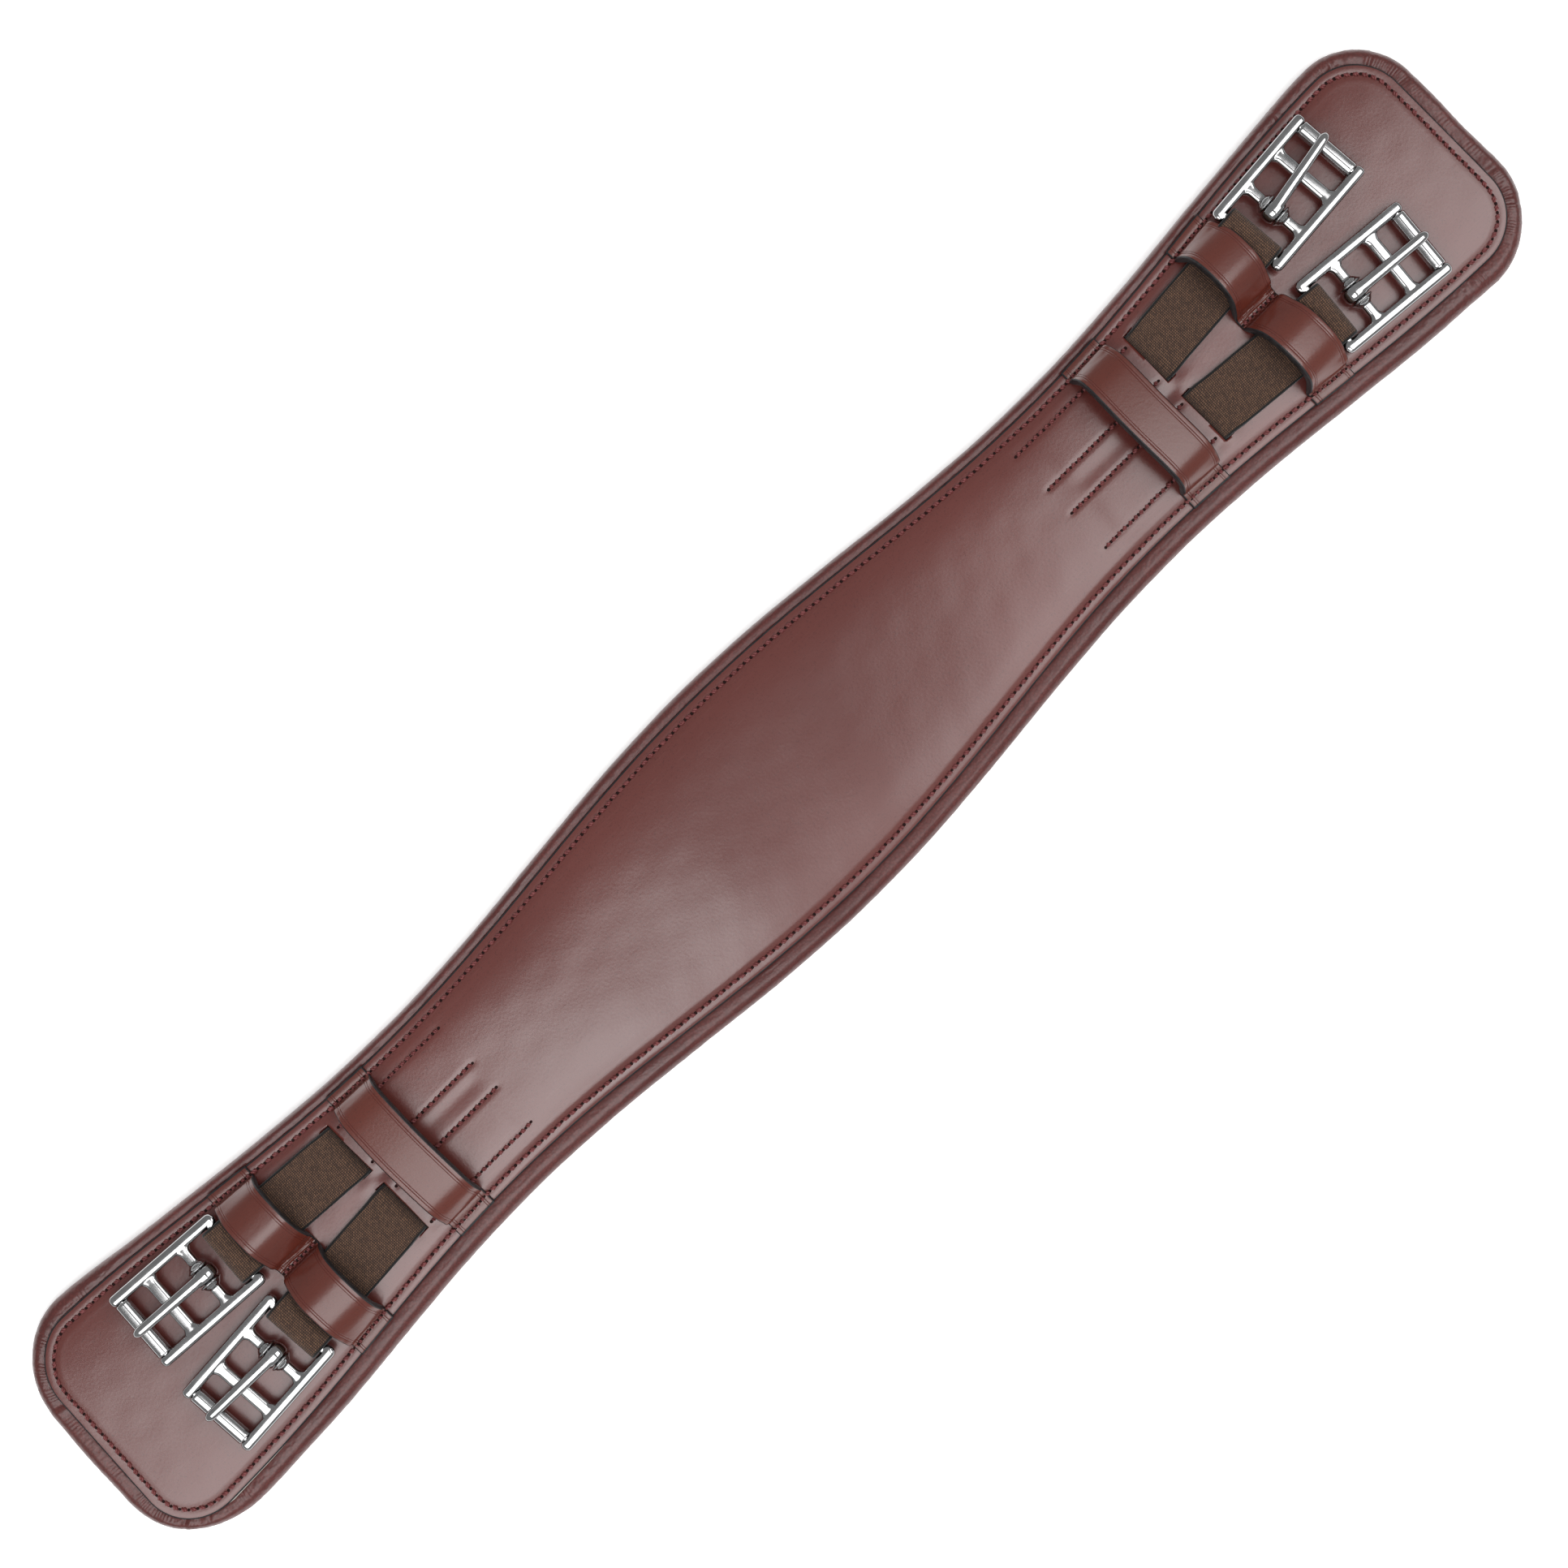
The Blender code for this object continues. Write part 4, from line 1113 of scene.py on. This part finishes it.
def edge_stitches():
    """The line of stitches round the panel, closer together over the keepers' feet."""
    outline = panel_outline(0.0005, 0.0005)
    line = outline.ring(STITCH_INSET)
    over_keeper = keeper_cover(line[:, 0])
    pitch = STITCH_PITCH + (FOOT_STITCH_PITCH - STITCH_PITCH) * over_keeper
    step = np.linalg.norm(np.roll(line, -1, axis=0) - line, axis=1)
    place = np.concatenate([[0.0], np.cumsum(step / pitch)])
    count = int(round(place[-1]))
    wanted = np.arange(count) * place[-1] / count
    closed = np.concatenate([line, line[:1]])
    lie = np.concatenate([outline.normals, outline.normals[:1]])
    x, y, lie_x, lie_y = (np.interp(wanted, place, values) for values in (*closed.T, *lie.T))
    return x, y, np.column_stack([lie_x, lie_y]), True, 0.0


def lay_stitches(name, lines, slant):
    """Threads and holes for lines of (x, y, side normals, closed, how far sunk)."""
    chance = np.random.default_rng(RNG_SEED + 1)
    starts, ends, holes, ways, depths = [], [], [], [], []
    for x, y, lie, closed, sunk in lines:
        z = stitched_height(x, y) - sunk
        count = len(x)
        wander = chance.normal(0.0, 0.00009, count)
        places = np.column_stack([x + lie[:, 0] * wander, y + lie[:, 1] * wander, z])
        for index in range(count if closed else count - 1):
            a = places[index]
            b = places[(index + 1) % count]
            along = (b - a) / np.linalg.norm(b - a)
            lean = np.array([lie[index, 0], lie[index, 1], 0.0]) * (slant + chance.normal(0.0, 0.00007))
            starts.append(a + along * THREAD_SHORT_START - lean)
            ends.append(b - along * THREAD_SHORT_END + lean)
            holes.append(a)
            ways.append(along[:2])
            depths.append(sunk)
        if not closed:
            holes.append(places[-1])
            ways.append(ways[-1])
            depths.append(sunk)
    thread = thread_mesh(name + "_thread", starts, ends)
    dress(thread, "thread")
    hole = hole_shade_mesh(name + "_holes", np.array(holes), ways, np.array(depths), RNG_SEED + 2)
    dress(hole, "hole")
    for piece in (thread, hole):
        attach(piece, "root")


def straight_line(start, stop, y, sign, pitch, sunk=0.0):
    """A line of stitches along the girth."""
    count = max(int(round((stop - start) / pitch)) + 1, 2)
    x = sign * np.linspace(start, stop, count)
    lie = np.tile([0.0, 1.0], (count, 1))
    return x, np.full(count, y), lie, False, sunk


def make_stitches():
    """The visible sewing: round the panel, along the elastic tails, and in the valleys."""
    lay_stitches("edge_stitching", [edge_stitches()], 0.00040)
    tails = [straight_line(start, stop, y, sign, TAIL_STITCH_PITCH)
             for sign, y, start, stop in tail_stitch_lines()]
    lay_stitches("tail_stitching", tails, 0.00030)
    seams = []
    for (kind, _), place in KEEPER_PLACES.items():
        if kind == "twin":
            reach = place["width"] / 2 - 0.0012
            middle = abs(place["x"])
            y = place["valley"] + float(panel_shift(middle))
            seams.append(straight_line(middle - reach, middle + reach, y,
                                       math.copysign(1, place["x"]), FOOT_STITCH_PITCH, 0.0005))
    lay_stitches("keeper_stitching", seams, 0.00030)


# ---------------------------------------------------------------- elastic
def elastic_path(name):
    """Middle line of the elastic band in the strap's own frame, from its lower tail round
    the base bar and back to its upper tail: (s, z) with s from the slot."""
    reach = (strap_base(name).to_2d() - Vector((SLOT_X[end_of(name)], SLOT_Y[name]))).length
    half = ELASTIC_PLY / 2
    low = PANEL_TOP + 0.0001 + half
    high = low + ELASTIC_PLY + 0.0001
    bar_z = strap_base(name).z
    fold = 0.0021 + 0.0002 + half
    under = PANEL_BOTTOM - 0.0021
    lower = [(-0.012, under - half), (-0.001, under - half), (0.0012, under + 0.0012),
             (0.0024, under + 0.0028), (0.0034, low - 0.0008), (0.0056, low), (0.009, low),
             (reach * 0.4, low), (reach - 0.016, low), (reach - 0.009, low + 0.0003),
             (reach - 0.004, bar_z - fold - 0.0004)]
    turn = np.radians(np.linspace(-90, 90, 15))
    bend = [(reach + 0.0010 + 1.32 * fold * math.cos(a), bar_z + fold * math.sin(a)) for a in turn]
    upper = [(reach - 0.0038, bar_z + fold - 0.0008), (reach - 0.0085, high + 0.0022),
             (reach - 0.015, high + 0.0002), (reach * 0.4, high), (0.0075, high),
             (0.0046, high - 0.0001), (0.0022, high - 0.0011), (0.0010, high - 0.0030),
             (0.0004, under + 0.0026), (-0.002, under + half + 0.0002), (-0.012, under + half)]
    return np.array(lower + bend + upper), reach


def resample(path, spacing):
    """Points evenly spaced along a smooth curve through the path's points."""
    run = np.concatenate([[0.0], np.cumsum(np.linalg.norm(np.diff(path, axis=0), axis=1))])
    place = np.arange(0.0, run[-1], spacing)
    points = np.column_stack([np.interp(place, run, path[:, i]) for i in range(path.shape[1])])
    kernel = np.hanning(int(0.0022 / spacing) * 2 + 3)
    kernel /= kernel.sum()
    pad = len(kernel) // 2
    for i in range(path.shape[1]):
        padded = np.concatenate([np.full(pad, points[0, i]), points[:, i], np.full(pad, points[-1, i])])
        points[:, i] = np.convolve(padded, kernel, mode="valid")
    return points, place


def make_elastic(name):
    """A ribbed band that leaves its slot, runs out to the base bar, folds and comes back."""
    path, reach = elastic_path(name)
    line, run = resample(path, RIB_PITCH / 5)
    along = np.gradient(line, axis=0)
    along /= np.maximum(np.linalg.norm(along, axis=1), 1e-9)[:, None]
    normal = np.column_stack([-along[:, 1], along[:, 0]])
    rib = 0.00012 * np.cos(run / RIB_PITCH * math.tau)
    wave = 0.00018 * np.sin(run / 0.017)
    flare = 1 + 0.045 * smooth_step(line[:, 0], reach * 0.55, reach * 0.95)
    edge = ELASTIC_WIDTH / 2
    across = [(-edge, 0.0), (-edge + 0.00015, 0.6), (-edge + 0.0005, 0.95)]
    across += [(y, 1.0) for y in np.linspace(-edge + 0.0013, edge - 0.0013, 13)]
    across += [(edge - 0.0005, 0.95), (edge - 0.00015, 0.6), (edge, 0.0)]
    around = across + [(y, -lift) for y, lift in reversed(across[1:-1])]
    rows = []
    measures = []
    for y, lift in around:
        in_field = 1.0 if abs(y) < edge - 0.0009 else 0.2
        height = lift * (ELASTIC_PLY / 2 + rib * in_field)
        rows.append(np.column_stack([line + normal * height[:, None], y * flare + wave * np.sign(y)]))
        measures.append(np.column_stack([run, np.full_like(run, y)]))
    local = np.concatenate(rows)
    # The tail lies along the girth, and the strap turns to its own heading past the slot.
    heading = strap_heading(name)
    slot = np.array([SLOT_X[end_of(name)], SLOT_Y[name]])
    turned_share = smooth_step(local[:, 0], 0.0, 0.012)[:, None]
    straight = slot + end_sign(name) * local[:, [0, 2]]
    turned = slot + np.outer(local[:, 0], heading.to_2d()) + np.outer(local[:, 2], (-heading.y, heading.x))
    plan = straight * (1 - turned_share) + turned * turned_share
    piece = new_mesh(f"elastic_strap_{name}", np.column_stack([plan, local[:, 1]]),
                     band_faces(len(around), len(run)))
    dress(piece, "elastic")
    set_uv(piece, np.concatenate(measures))
    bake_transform(piece)
    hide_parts("elastic_web_" + name, "elastic_loop_" + name)


# ---------------------------------------------------------------- buckles
def tube(points, radii, sides, flat):
    """Closed tube through points, with a (wide, high) radius at each. A flat below 1 makes
    its section boxier."""
    points = np.asarray(points, float)
    along = np.gradient(points, axis=0)
    along /= np.linalg.norm(along, axis=1)[:, None]
    up = np.array([0.0, 0.0, 1.0])
    side = np.cross(up, along)
    side /= np.linalg.norm(side, axis=1)[:, None]
    lift = np.cross(along, side)
    turn = np.linspace(0.0, math.tau, sides, endpoint=False)
    wide = np.array([radius[0] for radius in radii])[:, None, None]
    high = np.array([radius[1] for radius in radii])[:, None, None]
    cosine = np.sign(np.cos(turn)) * np.abs(np.cos(turn)) ** flat
    sine = np.sign(np.sin(turn)) * np.abs(np.sin(turn)) ** flat
    rings = (points[:, None, :] + side[:, None, :] * cosine[None, :, None] * wide
             + lift[:, None, :] * sine[None, :, None] * high)
    return rings.reshape(-1, 3), tube_faces(len(points), sides)


def lathe(profile, sides, centre_x):
    """Turned shape round an axis along Y: profile of (y, radius). Its ends stay open."""
    turn = np.linspace(0.0, math.tau, sides, endpoint=False)
    rows = [np.column_stack([centre_x + radius * np.cos(turn), np.full(sides, y), radius * np.sin(turn)])
            for y, radius in profile]
    return np.concatenate(rows), grid_faces(len(rows), sides, close_columns=True)


def capsule_radii(places, length, wide, high, end_reach):
    """Radii along a rod that rounds off over its last stretch at both ends."""
    radii = []
    for place in places:
        near = min(place, length - place)
        share = min(near / end_reach, 1.0)
        factor = max(math.sqrt(max(1 - (1 - share) ** 2, 0.0)), 0.03)
        radii.append((wide * factor, high * factor))
    return radii


def rod(start, stop, wide, high, end_reach, flat=1.0):
    """A straight tube with rounded ends, its steps closer together there."""
    start = np.asarray(start)
    way = np.asarray(stop) - start
    places = (1 - np.cos(np.linspace(0.0, 1.0, 40) * math.pi)) / 2
    length = float(np.linalg.norm(way))
    points = start[None, :] + places[:, None] * way[None, :]
    return tube(points, capsule_radii(places * length, length, wide, high, end_reach), 24, flat)


def merged(parts):
    """One set of points and faces from several."""
    points = []
    faces = []
    for part_points, part_faces in parts:
        base = sum(len(item) for item in points)
        points.append(part_points)
        faces += [[corner + base for corner in face] for face in part_faces]
    return np.concatenate(points), faces


def cast(name, parts):
    """Fuses overlapping shapes into one cast body with soft fillets."""
    piece = new_mesh(name, *merged(parts))
    weld(piece, 1e-7)
    remesh = piece.modifiers.new("fuse", "REMESH")
    remesh.mode = "VOXEL"
    remesh.voxel_size = CASTING_VOXEL
    remesh.use_smooth_shade = True
    soften = piece.modifiers.new("soften", "SMOOTH")
    soften.factor = 0.5
    soften.iterations = 4
    apply_modifiers(piece)
    return piece


def bar_between_rails(x, wide, high, flare, rail_y):
    """A bar across the frame that swells where it meets the rails."""
    y = np.linspace(-rail_y, rail_y, 41)
    points = np.column_stack([np.full_like(y, x), y, np.zeros_like(y)])
    near = smooth_step(np.abs(y), rail_y - 0.0050, rail_y - 0.0012)
    radii = [(wide * (1 + flare * share), high) for share in near]
    return tube(points, radii, 24, 0.8)


def make_frame_mesh():
    """The cast frame: two rails joined by a base bar, a collared tongue bar and a flat bar."""
    parts = []
    collar = [(0.0035, 0.00002), (0.0035, 0.0042), (0.0037, 0.0051), (0.0042, 0.0053), (0.0046, 0.0050),
              (0.0050, 0.0043), (0.0055, 0.0041), (0.0061, 0.0036), (0.0068, 0.0028), (0.0075, 0.00002)]
    for side in (-1, 1):
        rail_y = side * RAIL_Y
        parts.append(rod((-0.0034, rail_y, 0.0), (0.0558, rail_y, 0.0), 0.0027, 0.0022, 0.0024, 0.68))
        heel = [(-0.0010, side * 0.0174, 0.0), (-0.0008, side * 0.0160, 0.0),
                (-0.0004, side * 0.0149, 0.0), (0.0, side * 0.0138, 0.0)]
        heel_radii = [(0.0026, 0.0021), (0.0025, 0.0021), (0.0023, 0.0019), (0.0019, 0.0017)]
        parts.append(tube(heel, heel_radii, 20, 0.7))
        parts.append(lathe([(side * y, radius) for y, radius in collar], 40, TONGUE_BAR_X))
    parts.append(bar_between_rails(0.0, 0.0019, 0.0019, 0.1, RAIL_Y))
    parts.append(bar_between_rails(TONGUE_BAR_X, 0.00245, 0.0020, 0.80, RAIL_Y))
    parts.append(bar_between_rails(MIDDLE_BAR_X, 0.0029, 0.0018, 0.70, RAIL_Y))
    return cast("buckle_casting", parts)


def make_tongue_mesh(lean):
    """The tongue in its buckle's frame: a loop round its bar and a prong over the roller."""
    steps, sides = 56, 18
    loop = []
    for angle in np.linspace(0.0, math.tau, steps, endpoint=False):
        stretch = 1.06 + 0.06 * math.cos(angle)
        for around in np.linspace(0.0, math.tau, sides, endpoint=False):
            side = math.copysign(abs(math.sin(around)) ** 0.75, math.sin(around))
            radius = 0.0043 + 0.0015 * math.cos(around)
            loop.append((TONGUE_BAR_X - 0.0002 + stretch * radius * math.cos(angle), 0.0032 * side,
                         0.96 * radius * math.sin(angle)))
    loop_faces = grid_faces(steps, sides, close_rows=True, close_columns=True)
    x = np.linspace(TONGUE_BAR_X - 0.0030, TONGUE_BAR_X + PRONG_LENGTH, 60)
    share = (x - x[0]) / (x[-1] - x[0])
    z = 0.0034 + 0.0022 * smooth_step(share, 0.10, 0.62) - 0.0008 * smooth_step(share, 0.86, 1.0)
    y = np.tan(math.radians(lean)) * np.maximum(x - TONGUE_BAR_X, 0.0)
    taper = 1.0 - 0.15 * smooth_step(share, 0.05, 0.9)
    tip = np.clip(1 - np.clip((share - 0.90) / 0.10, 0, 1) ** 2.2, 0.02, 1) ** 0.62
    blunt = np.sqrt(np.clip(1 - np.clip((0.06 - share) / 0.06, 0, 1) ** 2, 0.0004, 1))
    radii = [(0.0028 * size, 0.0021 * size) for size in taper * tip * blunt]
    prong = tube(np.column_stack([x, y, z]), radii, 24, 0.85)
    return cast("tongue_casting", [(np.array(loop), loop_faces), prong])


def make_roller_mesh():
    """A sheet-metal tube with rolled ends and its butt seam turned down."""
    sides = 64
    end = [(0.0001, ROLLER_BORE), (0.0, ROLLER_BORE + 0.0002), (0.0, ROLLER_RADIUS - 0.0003),
           (0.0001, ROLLER_RADIUS - 0.0001), (0.0004, ROLLER_RADIUS), (0.0012, ROLLER_RADIUS)]
    profile = [(-ROLLER_HALF_LENGTH + inset, radius) for inset, radius in end]
    profile += [(ROLLER_HALF_LENGTH - inset, radius) for inset, radius in reversed(end)]
    points, _ = lathe(profile, sides, ROLLER_X)
    faces = grid_faces(len(profile), sides, close_rows=True, close_columns=True)
    angle = np.arctan2(points[:, 2], points[:, 0] - ROLLER_X)
    seam = np.exp(-((angle + 2.2) / 0.05) ** 2) * 0.00025
    radial = np.column_stack([np.cos(angle), np.zeros(len(angle)), np.sin(angle)])
    piece = new_mesh("roller_tube", points - radial * seam[:, None], faces)
    weld(piece, 1e-7)
    piece.data.set_sharp_from_angle(angle=math.radians(50))
    return piece


def make_rivet_mesh():
    """The plain pin that the roller turns on, its ends peened over in the rails."""
    reach = RAIL_Y + 0.0016
    points, faces = rod((ROLLER_X, -reach, 0.0), (ROLLER_X, reach, 0.0), 0.0018, 0.0018, 0.0006)
    piece = new_mesh("roller_rivet", points, faces)
    weld(piece, 1e-7)
    return piece


def place_copy(source, name, matrix):
    """A steel copy of one part, set where its buckle is."""
    piece = bpy.data.objects.new(name, source.data.copy())
    piece.data.name = name
    bpy.context.scene.collection.objects.link(piece)
    piece.data.transform(matrix)
    dress(piece, "steel")
    return piece


def make_buckles():
    """All four buckles: each part is cast once, then copied to its place."""
    casting = make_frame_mesh()
    roller = make_roller_mesh()
    pin = make_rivet_mesh()
    sources = [casting, roller, pin]
    for name in STRAPS:
        matrix = buckle_matrix(name)
        tongue = make_tongue_mesh(TONGUE_LEANS[name])
        sources.append(tongue)
        parts = ((casting, "buckle_casting_", "buckle_", "buckle_frame_"),
                 (pin, "roller_rivet_", "buckle_", "roller_pin_"),
                 (roller, "roller_tube_", "roller_", "buckle_roller_"),
                 (tongue, "tongue_prong_", "tongue_", "buckle_tongue_"))
        for source, piece_name, body, node in parts:
            piece = place_copy(source, piece_name + name, matrix)
            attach(piece, body + name)
            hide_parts(node + name)
    for source in sources:
        bpy.data.objects.remove(source, do_unlink=True)


def dress_frame_nodes():
    """Materials for the CAD nodes: foam and webbing stay, and pieces replace the others."""
    for node, piece in frame["nodes"].items():
        look = "steel"
        if node.startswith("foam"):
            look = "foam"
        elif node == "core_webbing":
            look = "webbing"
        for slot in piece.material_slots:
            slot.material = LOOKS[look]


# ---------------------------------------------------------------- studio
def add_camera():
    """Looks straight down, so that the panel's face is VIEW_WIDTH wide in the picture."""
    data = bpy.data.cameras.new("camera")
    camera = bpy.data.objects.new("camera", data)
    bpy.context.scene.collection.objects.link(camera)
    camera.location = (*VIEW_CENTRE, CAMERA_HEIGHT)
    camera.rotation_euler = (0.0, 0.0, -GIRTH_ANGLE)
    data.sensor_width = SENSOR
    data.lens = SENSOR * (CAMERA_HEIGHT - PANEL_TOP) / VIEW_WIDTH
    data.clip_start = 0.05
    bpy.context.scene.camera = camera


def add_light(name, low, high, height, brightness, mirrored):
    """A softbox lying flat overhead, from one corner to the other. The camera can't see it."""
    data = bpy.data.lights.new(name, "AREA")
    data.shape = "RECTANGLE"
    data.size, data.size_y = (high[0] - low[0], high[1] - low[1])
    data.energy = brightness * math.pi * data.size * data.size_y
    light = bpy.data.objects.new(name, data)
    light.visible_camera = False
    light.visible_glossy = mirrored
    bpy.context.scene.collection.objects.link(light)
    light.location = ((low[0] + high[0]) / 2, (low[1] + high[1]) / 2, height)


def add_studio():
    """Soft light from overhead, a pale world and a plain pale floor."""
    bpy.context.scene.view_settings.view_transform = "Standard"
    world = bpy.data.worlds.new("studio")
    bpy.context.scene.world = world
    world.use_nodes = True
    world.node_tree.nodes["Background"].inputs["Color"].default_value = (1.0, 1.0, 1.0, 1.0)
    world.node_tree.nodes["Background"].inputs["Strength"].default_value = WORLD_BRIGHTNESS
    for light in LIGHTS:
        add_light(*light)
    bpy.ops.mesh.primitive_plane_add(size=24.0, location=(0.0, 0.0, -0.0004))
    floor = bpy.context.active_object
    floor.name = "floor"
    dress(floor, "floor")


add_camera()
make_lining()
make_panel()
for keeper_kind, keeper_end in KEEPER_PLACES:
    make_keeper(keeper_kind, keeper_end)
make_stitches()
for strap_name in STRAPS:
    make_elastic(strap_name)
make_buckles()
dress_frame_nodes()
add_studio()
